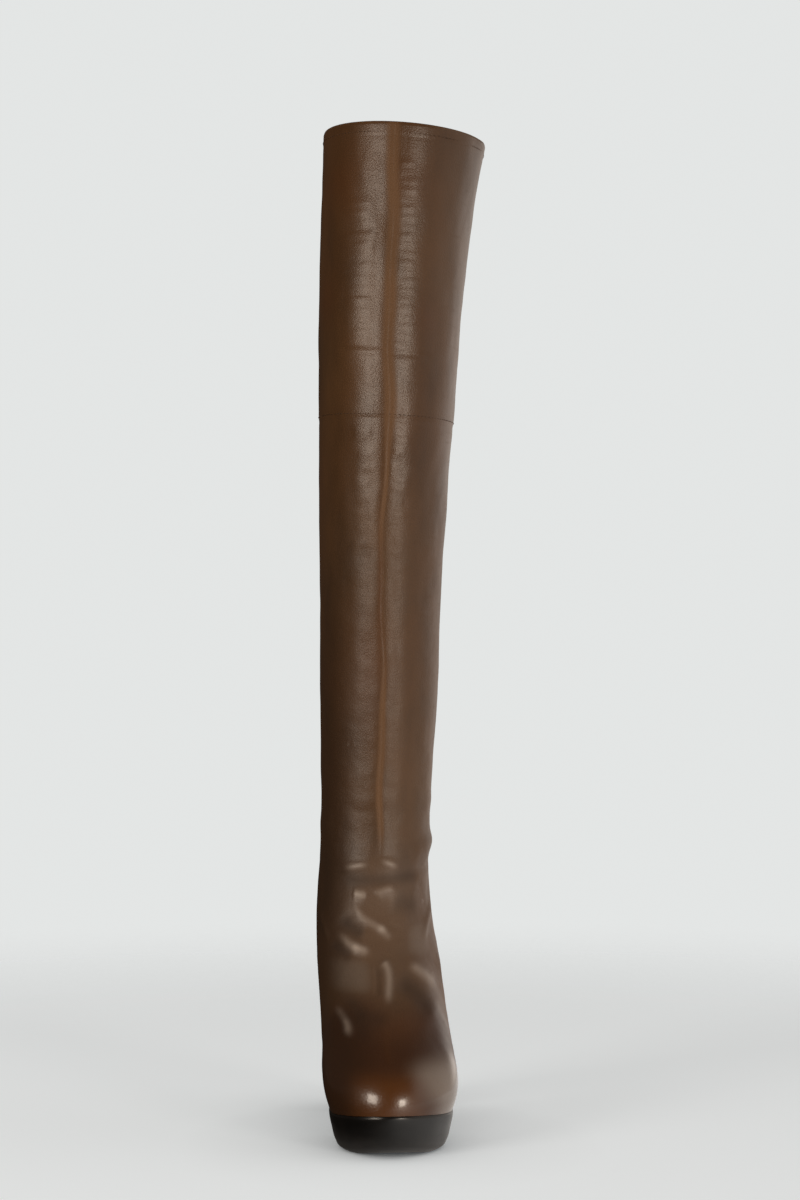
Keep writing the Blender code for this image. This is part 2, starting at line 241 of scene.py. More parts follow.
@dataclass(frozen=True)
class BootForm:
    """Plain outer form of the boot, worked out from the maker's sizes."""

    foot_length: float = 232 * MM
    ball_width: float = 81 * MM
    heel_seat_height: float = 99 * MM
    platform_height: float = 24 * MM
    toe_spring: float = 8.5 * MM
    ankle_height: float = 178 * MM
    knee_seam_height: float = 488 * MM
    collar_height: float = 690 * MM
    gap: float = 0.3 * MM
    waist_thickness: float = 5 * MM
    tread_back: float = 148 * MM
    tread_front: float = 194 * MM
    platform_back_curve: float = 35.0
    centre_forward: float = 101.0 * MM
    centre_across: float = 19.2 * MM
    column_lean: float = 35.0
    angle_step: float = 0.5

    def _feather_column(self, column: int, sign: int) -> tuple[Array, Array]:
        """A feather column carried past both ends, so that its curve runs through toe and heel.

        Args:
            column: column of the feather table.
            sign: -1 where the values change sides past the ends, 1 where they don't.

        Returns:
            The carried angles and their values.
        """
        angles, values = FEATHER[:, 0], FEATHER[:, column]
        wide = np.concatenate([-angles[3:0:-1], angles, 360 - angles[-2:-5:-1]])
        both = np.concatenate([sign * values[3:0:-1], values, sign * values[-2:-5:-1]])
        return wide, both

    def feather(self, angles: Array) -> Array:
        """Across and forward places of the feather line.

        Args:
            angles: degrees round the boot, 0 at the toe and positive on the outer side.

        Returns:
            One row of across and forward for each angle.
        """
        size = np.abs(angles)
        forward = smooth(*self._feather_column(1, 1), size) * self.foot_length
        inner = smooth(*self._feather_column(2, -1), size)
        outer = smooth(*self._feather_column(3, -1), size)
        half = np.where(angles < 0, inner, outer) * self.ball_width
        return np.stack([np.sign(angles) * half, forward], axis=-1)

    def outward(self, angles: Array) -> Array:
        """Level unit vectors that point out of the feather line.

        Args:
            angles: degrees round the boot.

        Returns:
            One vector for each angle.
        """
        along = self.feather(angles + self.angle_step) - self.feather(angles - self.angle_step)
        out = unit(np.stack([along[:, 1], -along[:, 0]], axis=-1))
        middle = np.array([0.0, 0.5 * self.foot_length])
        side = np.sign(np.sum(out * (self.feather(angles) - middle), axis=-1, keepdims=True))
        return out * side

    def inset(self, angles: Array, inset: Array | float) -> Array:
        """Feather line moved inward by a distance."""
        return self.feather(angles) - self.outward(angles) * np.reshape(inset, (-1, 1))

    def sole_top(self, forward: Array) -> Array:
        """Heights of the sole's upper face at stations along the foot."""
        share = smooth(SOLE_LINE[:, 0], SOLE_LINE[:, 1], forward / self.foot_length)
        return self.platform_height + share * (self.heel_seat_height - self.platform_height)

    def sole_bottom(self, forward: Array) -> Array:
        """Heights of the sole's lower face: toe spring, flat tread, back curve and thin waist.

        Args:
            forward: stations along the foot.

        Returns:
            One height for each station.
        """
        reach = (forward - self.tread_front) / (self.foot_length - self.tread_front)
        toe = self.toe_spring * np.maximum(0.0, reach) ** 2
        back = self.platform_back_curve * np.maximum(0.0, self.tread_back - forward) ** 2
        return np.minimum(toe + back, self.sole_top(forward) - self.waist_thickness)

    def shaft(self, angles: Array, heights: Array) -> Array:
        """Points of the shaft, one level ring after the other.

        Args:
            angles: degrees round the boot.
            heights: heights of the rings at the boot's middle.

        Returns:
            Array of rings, columns and the three stations.
        """
        rows = [smooth(SHAFT[:, 0] * MM, SHAFT[:, i], heights)[:, None] for i in range(1, SHAFT.shape[1])]
        front, back, half, centre, twist, tilt = rows
        gathered = np.radians(angles - self.column_lean * np.sin(np.radians(angles)))[None, :]
        side, ahead = half * np.sin(gathered), (front - back) / 2 * np.cos(gathered)
        turn = np.radians(twist)
        across = side * np.cos(turn) - ahead * np.sin(turn)
        forward = (front + back) / 2 + ahead * np.cos(turn) + side * np.sin(turn)
        height = heights[:, None] / MM - np.tan(np.radians(tilt)) * across
        return np.stack([centre + across, forward, height], axis=-1) * MM

    def _by_angle(self, figures: tuple[float, ...], angles: Array) -> Array:
        """Toe, ball, waist and heel figures eased from one to the next round the boot.

        Args:
            figures: the four figures.
            angles: degrees round the boot.

        Returns:
            One figure for each angle.
        """
        size = np.abs(angles)
        values = np.asarray(figures)
        i = np.clip(np.searchsorted(RING_ANGLES, size, side="right") - 1, 0, len(figures) - 2)
        starts = np.asarray(RING_ANGLES, float)
        share = (size - starts[i]) / (starts[i + 1] - starts[i])
        return values[i] + (values[i + 1] - values[i]) * share * share * (3 - 2 * share)

    def _foot_controls(self, angles: Array) -> Array:
        """Control points of the foot's columns, feather line first and ankle last.

        Args:
            angles: degrees round the boot.

        Returns:
            Array of columns, control points and the three stations.
        """
        flat = self.feather(angles)
        start = np.column_stack([flat, self.sole_top(flat[:, 1]) + self.gap])
        ankle, above = self.shaft(angles, np.array([self.ankle_height, self.ankle_height + MM]))
        out = self.outward(angles)
        points = [start]
        for ring in FOOT_RINGS:
            point = start + (ankle - start) * self._by_angle(ring["share"], angles)[:, None]
            point[:, :2] += out * self._by_angle(ring["swell"], angles)[:, None] * MM
            point[:, 2] = start[:, 2] + self._by_angle(ring["rise"], angles) * MM
            points.append(point)
        instep = ankle - unit(above - ankle) * self._by_angle(INSTEP_DROP, angles)[:, None] * MM
        instep[:, :2] += out * self._by_angle(INSTEP_SWELL, angles)[:, None] * MM
        return np.stack(points + [instep, ankle], axis=1)

    def _spline_weights(self, shares: Array, count: int) -> Array:
        """Weights of a clamped cubic spline's control points.

        Args:
            shares: places along the spline from 0 to 1.
            count: number of control points.

        Returns:
            One row of weights for each share.
        """
        knots = np.concatenate([[0, 0, 0], np.linspace(0, 1, count - 2), [1, 1, 1]])
        u = np.minimum(shares, 1 - 1e-9)[:, None]
        weights = ((knots[:-1] <= u) & (u < knots[1:])).astype(float)
        for degree in range(1, 4):
            low, high = knots[:-degree - 1], knots[degree + 1:]
            left_run = knots[degree:-1] - low
            right_run = high - knots[1:-degree]
            left = (u - low) / np.where(left_run, left_run, 1) * weights[:, :-1] * (left_run > 0)
            right = (high - u) / np.where(right_run, right_run, 1) * weights[:, 1:] * (right_run > 0)
            weights = left + right
        return weights

    def foot(self, angles: Array, shares: Array) -> Array:
        """Points of the foot from feather line to ankle.

        Args:
            angles: degrees round the boot.
            shares: shares of the way up each column.

        Returns:
            Array of rows, columns and the three stations.
        """
        controls = self._foot_controls(angles)
        return np.einsum("rc,jcd->rjd", self._spline_weights(shares, controls.shape[1]), controls)

    def placed(self, points: Array) -> Array:
        """Maker's stations as scene coordinates."""
        across, forward, height = np.moveaxis(np.asarray(points, float), -1, 0)
        return np.stack([across - self.centre_across, self.centre_forward - forward, height], axis=-1)


@dataclass(frozen=True)
class Fold:
    """A soft ridge or trough laid on the upper, in the boot's own millimetres."""

    points: tuple[Place, ...]
    half_width: float
    height: float
    reach: Reach = Reach.FRONT
    fade: float = 0.3
    samples: int = 20
    margin: float = 3.0

    def _line(self) -> Array:
        """Draw the fold's crest as a smooth curve.

        Returns:
            Close points along the crest.
        """
        marks = np.asarray(self.points, float)
        steps = np.linspace(0, len(marks) - 1, self.samples)
        places = np.arange(len(marks))
        return np.stack([smooth(places, marks[:, i], steps) for i in range(2)], axis=1)

    def lift(self, places: Array) -> Array:
        """Height of the fold over each place.

        Args:
            places: rows of the two coordinates that the fold's reach names, in millimetres.

        Returns:
            Lift in millimetres, negative in a trough.
        """
        line = self._line()
        room = self.margin * self.half_width
        near = np.all((places > line.min(0) - room) & (places < line.max(0) + room), axis=1)
        lifts = np.zeros(len(places))
        best = np.full(near.sum(), np.inf)
        along = np.zeros(near.sum())
        spot = places[near]
        for i, (start, end) in enumerate(zip(line[:-1], line[1:])):
            run = end - start
            share = np.clip((spot - start) @ run / (run @ run), 0, 1)
            distance = np.linalg.norm(spot - start - share[:, None] * run, axis=1)
            closer = distance < best
            best = np.where(closer, distance, best)
            along = np.where(closer, (i + share) / (len(line) - 1), along)
        taper = ease(0, self.fade, along) * ease(0, self.fade, 1 - along) if self.fade else 1.0
        lifts[near] = self.height * taper * np.exp(-(best / self.half_width) ** 2)
        return lifts


@dataclass(frozen=True)
class Ripples:
    """Fine level ripples one above the other, each a little longer or shorter than the last.

    Turns are the angles from one ripple to the next, for its sway and for its end.
    """

    across: Place
    heights: Place
    pitch: float
    half_width: float
    lift: float
    turns: Place = (2.4, 1.7)
    end_shifts: Place = (1.5, 3.0)
    bends: Point = (0.5, 0.4, 0.9)
    unevenness: float = 0.35
    fade: float = 0.35

    def folds(self) -> list[Fold]:
        """Lay the ripples.

        Returns:
            One fold for each ripple.
        """
        made = []
        for i, height in enumerate(np.arange(*self.heights, self.pitch)):
            sway, stretch = math.sin(self.turns[0] * i), math.cos(self.turns[1] * i)
            start = self.across[0] + self.end_shifts[0] * sway
            end = self.across[1] - self.end_shifts[1] * stretch
            points = (
                (start, height + self.bends[0] * sway),
                ((start + end) / 2, height - self.bends[1]),
                (end, height + self.bends[2] * sway),
            )
            lift = self.lift * (1 + self.unevenness * sway)
            made.append(Fold(points, self.half_width, lift, fade=self.fade))
        return made


# Creases of the thigh panel and the shaft, seen from the front: points, half width, height
SHAFT_FOLDS = [
    Fold(((-30, 621), (-14, 618), (-2, 618)), 5.5, -0.55),
    Fold(((-28, 634), (-12, 634), (-2, 633)), 7.0, 0.25),
    Fold(((-28, 604), (-12, 604.5), (-2, 604)), 7.0, 0.25),
    Fold(((-26, 662), (-25.5, 610), (-25, 556), (-24.5, 500)), 11.0, 0.95, fade=0.25),
    Fold(((-26, 655), (-12, 652), (-3, 654)), 7.0, -0.22),
    Fold(((-28, 536), (-17, 534.8), (0.9, 533.2), (27.3, 531.5), (38, 530.5)), 2.0, -0.42, fade=0.15),
    Fold(((-26, 541), (-17, 540), (0.9, 538.6), (27.3, 537)), 3.5, 0.28),
    Fold(((-22, 598.8), (-12, 597.6), (-2.6, 596.9)), 1.5, -0.20),
    Fold(((-22, 592.6), (-12, 591.4), (-2.6, 590.7)), 1.5, -0.20),
    Fold(((-22, 573.9), (-12, 573.0), (-1.2, 572.2)), 1.7, -0.24),
    Fold(((-21, 556), (-12, 553), (-4, 554)), 5.0, -0.22),
    Fold(((-20, 479), (-12, 480), (-3, 479)), 4.5, 0.45),
    Fold(((-14, 452), (-7, 446), (-4, 436)), 5.0, -0.45),
    Fold(((11, 464), (16, 455), (18, 444)), 5.0, -0.40),
    Fold(((4, 459), (14, 456), (28, 455)), 1.7, -0.20),
    Fold(((-16, 400), (-9, 392), (-7, 380)), 6.0, -0.35),
    Fold(((-14, 340), (-8, 330), (-9, 316)), 7.0, -0.30),
    Fold(((0.5, 292), (2.8, 288.2), (4.0, 283.4)), 2.0, 0.50),
    Fold(((-26, 214.5), (-12, 216.6), (0, 216.7), (26, 214.6)), 5.0, -0.28),
    Fold(((-22, 222), (0, 223.5), (22, 222)), 5.0, 0.24),
]
RIPPLE_BANDS = (
    Ripples((9.5, 27.0), (545.0, 664.0), 6.2, 2.1, 0.17),
    Ripples((-26.0, -4.0), (548.0, 640.0), 7.4, 2.4, 0.26),
    Ripples((7.0, 21.0), (396.0, 482.0), 8.6, 3.0, 0.20),
    Ripples((-20.0, -2.0), (402.0, 478.0), 10.4, 3.2, 0.20),
)
SHAFT_FOLDS += [fold for band in RIPPLE_BANDS for fold in band.folds()]

# Creases of the ankle, instep and vamp, seen from the front
ANKLE_FOLDS = [
    Fold(((-27.3, 176.0), (-14.2, 178.2), (-3.1, 180.0)), 2.8, 1.02, fade=0.45),
    Fold(((-1.3, 183.0), (7.7, 180.0), (16.8, 176.0)), 2.8, 0.98, fade=0.45),
    Fold(((-28.6, 168.6), (-8.6, 168.8), (17.2, 170.4), (32.0, 171.6)), 4.6, -0.75, fade=0.2),
    Fold(((-18.2, 159.6), (-13.2, 159.0), (-7.6, 158.2)), 4.2, 0.75, fade=0.25),
    Fold(((-14.6, 159.2), (-13.2, 159.0), (-11.8, 158.6)), 3.2, 0.50, fade=0.0),
    Fold(((-3.6, 158.2), (2.8, 161.6), (13.5, 164.3)), 3.4, 0.78),
    Fold(((-16.0, 158.0), (-15.0, 149.6), (-10.7, 143.7), (-4.0, 139.4), (2.2, 135.5), (5.5, 131.7)),
         3.1, 0.85, fade=0.30),
    Fold(((1.8, 135.6), (3.6, 133.6), (5.3, 131.9)), 3.0, 0.75, fade=0.0),
    Fold(((-26.8, 145.4), (-21.5, 139.4), (-14.9, 135.4), (-9.3, 133.4)), 5.0, -0.90),
    Fold(((8.0, 156.0), (20.0, 152.0), (30.0, 150.0)), 6.5, -0.60),
    Fold(((-30.3, 136.1), (-24.0, 129.5), (-17.6, 124.1), (-7.6, 120.5)), 3.6, 0.90, fade=0.45),
    Fold(((-15.6, 123.6), (-13.2, 122.9), (-10.8, 122.2)), 3.6, 1.00, fade=0.0),
    Fold(((-32.6, 127.0), (-26.4, 121.8), (-17.8, 118.4)), 4.5, -0.80),
    Fold(((0.8, 117.1), (4.3, 110.5), (4.5, 102.6), (1.9, 88.5)), 3.2, 1.05, fade=0.18),
    Fold(((-5.0, 116.6), (-5.4, 104.6), (-6.3, 93.5)), 1.7, 0.25),
    Fold(((-1.7, 114.5), (-2.1, 103.7), (-3.2, 93.5)), 1.8, -0.40),
    Fold(((16.3, 115.0), (24.4, 110.2), (34.1, 101.9), (40.6, 93.8)), 3.6, 1.00, fade=0.35),
    Fold(((8.6, 106.4), (18.6, 99.9), (28.6, 91.2), (36.4, 82.3)), 6.0, -0.90),
    Fold(((-33.5, 88.6), (-28.6, 84.4), (-24.8, 77.7), (-26.8, 70.2)), 3.0, 0.60),
    Fold(((-25.3, 79.0), (-24.8, 77.2), (-25.0, 75.4)), 2.8, 0.40, fade=0.0),
    Fold(((-32.0, 97.0), (-20.0, 90.0), (-8.0, 85.0), (6.0, 82.0)), 5.0, -0.70),
    Fold(((-20.0, 90.0), (-17.0, 80.0), (-18.0, 70.0)), 5.0, -0.50),
]

# Slack folds round the sides and the back of the ankle
SIDE_PLACES = {
    Reach.GIRTH: (
        (((22, 185), (36, 188), (60, 192), (84, 197)), 6.5, 2.1),
        (((24, 174), (45, 175), (70, 180)), 3.6, -0.9),
        (((28, 158), (48, 155), (72, 158)), 11.0, -1.25),
        (((-20, 172), (-42, 166), (-66, 166)), 12.0, -1.20),
        (((-36, 202), (-56, 206), (-82, 204)), 7.0, 0.45),
        (((34, 216), (58, 221), (80, 222)), 6.0, 0.7),
        (((38, 126), (56, 140), (78, 150)), 5.0, 1.0),
        (((-44, 122), (-62, 139), (-84, 149)), 5.0, 0.9),
    ),
    Reach.BACK: (
        (((-62, 172), (-25, 165), (18, 166), (60, 173)), 4.2, -1.2),
        (((-66, 184), (-25, 177), (20, 178), (64, 186)), 5.5, 1.5),
        (((-60, 199), (-22, 191), (24, 193), (62, 201)), 4.4, -1.2),
        (((-64, 214), (-24, 206), (26, 208), (60, 215)), 6.0, 1.3),
        (((-52, 231), (-20, 224), (22, 226), (52, 233)), 5.0, -1.0),
        (((-48, 248), (-14, 241), (28, 245), (50, 250)), 7.0, 0.9),
        (((-40, 272), (-8, 266), (24, 270)), 7.0, -0.6),
        (((-44, 520), (-10, 514), (30, 517)), 5.0, -0.7),
        (((-40, 506), (0, 501), (38, 505)), 6.0, 0.6),
    ),
}
SIDE_FOLDS = [Fold(*row, reach) for reach, rows in SIDE_PLACES.items() for row in rows]

# Redder patches of the leather, and paler ones on the instep that are a painted sheen
RED_PATCHES = (
    Patch((-7, 315), (10, 42), 1.0),
    Patch((18, 652), (13, 15), 0.6),
    Patch((-27, 652), (14, 18), 0.9),
    Patch((-36, 575), (9, 22), 0.9),
    Patch((33, 556), (9, 14), 0.8),
    Patch((-12, 89), (10, 5), 0.9),
    Patch((12, 80), (18, 9), 1.0),
    Patch((0.8, 380), (1.8, 55), 1.0),
)
SHEEN_PATCHES = (
    Patch((-20, 107), (14, 11), 2.3, 4),
    Patch((27, 128), (9, 10), 1.35, 4),
)

# Masks painted on the leather, each a product over the stations that it names, in millimetres and degrees;
# some lay painted shade or painted sheen
MASKS = {
    # Darker towards the lower inner side: painted shade
    "inner": (("angle", Bell(-100, 48)), ("height", Step(520, 190))),
    # Painted shade on the vamp, deeper on its inner part
    "vamp": (("forward", Step(112, 150)), ("waved", Step(100, 80))),
    "vamp_inner_shade": (("across", Step(-4, -30, 0.8)),),
    "amber": (("forward", Step(196, 222)), ("height", Step(60, 46)), ("across", Bell(-2, 24, 4))),
    # Painted sheen on the instep
    "instep": (("across", Bell(-4, 30, 4)), ("height", Bell(135, 52, 4)), ("ahead", Step(-0.1, 0.4))),
    # Painted sheen on the outer toe, which also takes more gloss
    "outer_toe": (("slanted", Step(4, 26)), ("forward", Step(150, 178)), ("height", Step(66, 52))),
    "toe": (("forward", Step(150, 222)), ("height", Step(105, 75)), ("upward", Step(-0.15, 0.25))),
    "matt": (("height", Step(470, 400)), ("height", Step(92, 112))),
}


class Wiring:
    """Places nodes in a node tree and joins them."""

    def __init__(self, tree: bpy.types.NodeTree) -> None:
        """Keep the tree that is wired."""
        self.tree = tree

    def add(self, kind: str, inputs: dict | None = None, **settings: object) -> bpy.types.Node:
        """Place a node, set its options and feed its inputs.

        Args:
            kind: Blender's type of the node, after its leading ShaderNode.
            inputs: socket name or number, with a value or another node's output.
            settings: options of the node itself.

        Returns:
            The new node.
        """
        node = self.tree.nodes.new("ShaderNode" + kind)
        for name, value in settings.items():
            setattr(node, name, value)
        for key, value in (inputs or {}).items():
            self.feed(node.inputs[key], value)
        return node

    def feed(self, socket: Socket, value: object) -> None:
        """Link an output to a socket, or set the socket's own value.

        Args:
            socket: input that is fed.
            value: another node's output, a colour or a number.
        """
        if isinstance(value, Socket):
            self.tree.links.new(value, socket)
        elif isinstance(value, tuple) and socket.type == "RGBA":
            socket.default_value = (*value, 1.0)
        else:
            socket.default_value = value

    def out(self, kind: str, inputs: dict | None = None, name: str | int = 0, **settings: object) -> Socket:
        """Place a node and hand on the one of its outputs that is named."""
        return self.add(kind, inputs, **settings).outputs[name]

    def math(self, operation: str, a: object, b: object) -> Socket:
        """One operation on two values."""
        return self.out("Math", {0: a, 1: b}, operation=operation)

    def times(self, a: object, b: object) -> Socket:
        """Product of two values."""
        return self.math("MULTIPLY", a, b)

    def plus(self, value: object, *terms: tuple[object, object]) -> Socket:
        """Add masks to a value.

        Args:
            value: what the masks are added to.
            terms: each a mask and its share.

        Returns:
            The sum.
        """
        for mask, share in terms:
            value = self.math("ADD", value, self.times(mask, share))
        return value

    def mix(self, share: object, a: object, b: object) -> Socket:
        """Colour a passing into colour b by a share."""
        return self.out("Mix", {0: share, 6: a, 7: b}, 2, data_type="RGBA")

    def coats(self, colour: object, *coats: tuple[object, float, Colour]) -> Socket:
        """Lay colours over a first one in turn.

        Args:
            colour: the first colour.
            coats: each a mask, its share and a colour.

        Returns:
            The colour on top.
        """
        for mask, share, tone in coats:
            colour = self.mix(self.times(mask, share), colour, tone)
        return colour

    def span(self, value: object, low: float, high: float, start: float = 0.0, end: float = 1.0) -> Socket:
        """Soft step of a value between two ends.

        Args:
            value: what is read.
            low: where the step starts.
            high: where it ends.
            start: result at the low end.
            end: result at the high end.

        Returns:
            The stepped value.
        """
        inputs = {"Value": value, "From Min": low, "From Max": high, "To Min": start, "To Max": end}
        return self.out("MapRange", inputs, interpolation_type="SMOOTHSTEP")

    def places(self, stretch: Point = EVEN) -> Socket:
        """The boot's own coordinates in metres, stretched along each axis."""
        at = self.out("TexCoord", name="Object")
        return self.out("Mapping", {"Vector": at, "Scale": Vector(stretch)})

    def noise(self, scale: object, detail: float, stretch: Point = EVEN, roughness: float = 0.5) -> Socket:
        """Cloudy values from 0 to 1 over the boot's stretched coordinates."""
        inputs = {"Vector": self.places(stretch), "Scale": scale, "Detail": detail, "Roughness": roughness}
        return self.out("TexNoise", inputs, "Fac")

    def painted(self, name: str) -> Socket:
        """A value painted on the mesh's points."""
        return self.out("Attribute", name="Fac", attribute_name=name)

    def by_ray(self, lit: Socket, seen: Socket) -> Socket:
        """One shader for the light that falls on the boot, another for the camera's own view."""
        straight = self.out("LightPath", name="Is Camera Ray")
        return self.out("MixShader", {0: straight, 1: lit, 2: seen})


@dataclass
class Effects:
    """Surface effects that several finishes share, each one node group that is built once."""

    bend_scale: float = 260.0
    bend_reach: float = 0.0012
    fine_scale: float = 2600.0
    pebble_edges: Place = (0.05, 0.75)
    pore_edges: Place = (0.55, 0.85)
    cloud_stretch: Point = (1.0, 1.0, 0.55)
    cloud_roughness: float = 0.55
    mark_stretches: tuple[Point, Point] = ((1.0, 1.0, 7.0), (4.0, 4.0, 0.8))
    mark_edges: Place = (0.56, 0.80)
    dust_scale: float = 140.0
    built: dict[str, bpy.types.NodeTree] = field(default_factory=dict)

    def _group(self, name: str, inputs: tuple[str, ...], outputs: tuple[str, ...]
               ) -> tuple[Wiring, bpy.types.NodeOutputs, bpy.types.NodeInputs]:
        """An empty group with its sockets.

        Args:
            name: name of the group.
            inputs: names of the inputs.
            outputs: names of the outputs.

        Returns:
            The group's wiring, the values given to it and the results that it puts out.
        """
        tree = bpy.data.node_groups.new(name, "ShaderNodeTree")
        for way, keys in (("INPUT", inputs), ("OUTPUT", outputs)):
            for key in keys:
                tree.interface.new_socket(key, in_out=way, socket_type="NodeSocketFloat")
        self.built[name] = tree
        given, result = tree.nodes.new("NodeGroupInput"), tree.nodes.new("NodeGroupOutput")
        return Wiring(tree), given.outputs, result.inputs

    def _leather_grain(self) -> None:
        """Close pebbled grain with pores, as a height and a mask."""
        w, given, result = self._group("leather_grain", ("Scale", "Wander"), ("Height", "Pores"))
        at = w.places()
        bend = w.out("TexNoise", {"Vector": at, "Scale": self.bend_scale, "Detail": 1.0}, "Color")
        push = w.out("VectorMath", {0: bend, "Scale": self.bend_reach}, operation="SCALE")
        moved = w.out("VectorMath", {0: at, 1: push}, operation="ADD")
        cell = {"Vector": moved, "Scale": given["Scale"]}
        away = w.out("TexVoronoi", cell, "Distance", feature="SMOOTH_F1")
        fine = w.noise(self.fine_scale, 2.0)
        pebble = w.span(away, *self.pebble_edges, 1.0, 0.0)
        w.feed(result["Height"], w.plus(pebble, (fine, given["Wander"])))
        w.feed(result["Pores"], w.span(away, *self.pore_edges))

    def _patchy_tone(self) -> None:
        """Cloudy change of tone, longer up the leg than round it."""
        w, given, result = self._group("patchy_tone", ("Scale", "Sharpness"), ("Mask",))
        cloud = w.noise(given["Scale"], 4.0, self.cloud_stretch, self.cloud_roughness)
        half = given["Sharpness"]
        above = w.math("SUBTRACT", cloud, w.math("SUBTRACT", 0.5, half))
        share = w.math("DIVIDE", above, w.times(half, 2.0))
        w.feed(result["Mask"], w.out("Clamp", {"Value": share}))

    def _scuffs(self) -> None:
        """Thin rubbed marks in two directions, as a mask."""
        w, given, result = self._group("scuffs", ("Scale", "Amount"), ("Mask",))
        clouds = [w.noise(given["Scale"], 3.0, stretch) for stretch in self.mark_stretches]
        first, second = (w.span(cloud, *self.mark_edges) for cloud in clouds)
        w.feed(result["Mask"], w.times(w.math("MAXIMUM", first, second), given["Amount"]))

    def _floor_dust(self) -> None:
        """Dust and wear that gather near the floor, as a mask."""
        w, given, result = self._group("floor_dust", ("Reach", "Amount"), ("Mask",))
        height = w.out("SeparateXYZ", {0: w.places()}, "Z")
        share = w.math("SUBTRACT", 1.0, w.math("DIVIDE", height, given["Reach"]))
        low = w.out("Clamp", {"Value": share})
        cloud = w.noise(self.dust_scale, 5.0)
        w.feed(result["Mask"], w.times(w.times(low, cloud), given["Amount"]))

    def place(self, wiring: Wiring, name: str, **values: float) -> bpy.types.NodeOutputs:
        """Place one effect in a material with its own values.

        Args:
            wiring: wiring of the material.
            name: name of the effect.
            values: values of the effect's inputs, named in small letters.

        Returns:
            The outputs of the group's node.
        """
        if name not in self.built:
            getattr(self, "_" + name)()
        node = wiring.add("Group", node_tree=self.built[name])
        for key, value in values.items():
            node.inputs[key.capitalize()].default_value = value
        return node.outputs


EFFECTS = Effects()


@dataclass(frozen=True)
class Finish:
    """What every finish has: a name, the shader's constant values and the size of its bump."""

    name: str
    coat_roughness: float = 0.1
    specular: float = 0.5
    bump_depth: float = 0.0001
    bump_strength: float = 0.5

    def wire(self, w: Wiring) -> dict[str, Socket]:
        """Wire the finish: values for the shader's inputs, and a height for the bump."""
        raise NotImplementedError

    def material(self) -> bpy.types.Material:
        """Make the material from the constants and from what the finish wires.

        Returns:
            The new material.
        """
        made = bpy.data.materials.new(self.name)
        made.use_nodes = True
        w = Wiring(made.node_tree)
        values = self.wire(w)
        size = {"Distance": self.bump_depth, "Strength": self.bump_strength}
        values["Normal"] = w.out("Bump", {"Height": values.pop("Height"), **size})
        values |= {"Specular IOR Level": self.specular, "Coat Roughness": self.coat_roughness}
        shader = made.node_tree.nodes["Principled BSDF"]
        for name, value in values.items():
            w.feed(shader.inputs[name], value)
        return made


@dataclass(frozen=True)
class UpperLeather(Finish):
    """Smooth brown calf: matt tan along the seams, burnished at the toe; painted highlights on the crests,
    painted sheen on the instep and outer toe, painted shade on the vamp, the lower inner side and in the
    hollows.
    """

    coat_roughness: float = 0.16
    specular: float = 0.62
    bump_depth: float = 0.00016
    bump_strength: float = 0.34
    deep: Colour = (0.086, 0.0410, 0.0155)
    warm: Colour = (0.148, 0.0750, 0.0290)
    seam_tan: Colour = (0.200, 0.096, 0.036)
    toe_amber: Colour = (0.114, 0.0395, 0.0080)
    # Pale tan of the painted highlight on the crests
    crest_highlight_tan: Colour = (0.540, 0.450, 0.385)
    # Tan of the painted sheen on the instep and the outer toe
    sheen_tan: Colour = (0.200, 0.148, 0.112)
    # Painted shade on the vamp
    vamp_shade_brown: Colour = (0.056, 0.0200, 0.0072)
    # Painted shade on the lower inner side and in the hollows
    shade_brown: Colour = (0.034, 0.0155, 0.0060)
    red_brown: Colour = (0.125, 0.046, 0.0130)
    roughness: float = 0.385
    seam_roughness: float = 0.20
    toe_gloss: float = 0.06
    mark_roughness: float = 0.12
    matt_roughness: float = 0.09
    hollow_roughness: float = 0.22
    toe_coat: float = 0.9
    dent_stretch: Point = (1.0, 1.0, 1.5)
    dent_scale: float = 75.0
    dent_share: float = 8.0

    def wire(self, w: Wiring) -> dict[str, Socket]:
        """Wire the leather.

        Args:
            w: wiring of the material.

        Returns:
            Values for the shader's inputs, and a height for the bump.
        """
        tone = EFFECTS.place(w, "patchy_tone", scale=26.0, sharpness=0.22)["Mask"]
        grain = EFFECTS.place(w, "leather_grain", scale=1050.0, wander=0.35)
        marks = EFFECTS.place(w, "scuffs", scale=45.0, amount=0.5)["Mask"]
        blush = EFFECTS.place(w, "patchy_tone", scale=13.0, sharpness=0.16)["Mask"]
        seam, toe, hollow, matt = (w.painted(name) for name in ("seam", "toe", "hollow", "matt"))
        colour = w.coats(
            w.mix(tone, self.deep, self.warm),
            (blush, 0.45, self.red_brown),
            # painted shade on the vamp
            (w.painted("vamp"), 0.92, self.vamp_shade_brown),
            (w.painted("reddened"), 0.55, self.red_brown),
            # painted sheen on the instep and the outer toe
            (w.painted("painted_sheen"), 0.40, self.sheen_tan),
            # painted shade on the lower inner side and the inner part of the vamp
            (w.painted("painted_inner_shade"), 0.75, self.shade_brown),
            # painted shade in the hollows of the creases
            (hollow, 0.65, self.shade_brown),
            # painted highlight on the crests
            (w.painted("crest"), 0.92, self.crest_highlight_tan),
            (seam, 0.80, self.seam_tan),
            (w.painted("amber"), 0.85, self.toe_amber),
            (grain["Pores"], 0.30, self.deep),
        )
        rough = w.plus(
            self.roughness,
            (seam, self.seam_roughness),
            (toe, -self.toe_gloss),
            (marks, self.mark_roughness),
            (matt, self.matt_roughness),
            (hollow, self.hollow_roughness),
        )
        dents = w.noise(self.dent_scale, 1.0, self.dent_stretch)
        height = w.plus(grain["Height"], (dents, w.times(matt, self.dent_share)))
        coat = w.times(toe, self.toe_coat)
        return {"Base Color": colour, "Roughness": rough, "Coat Weight": coat, "Height": height}


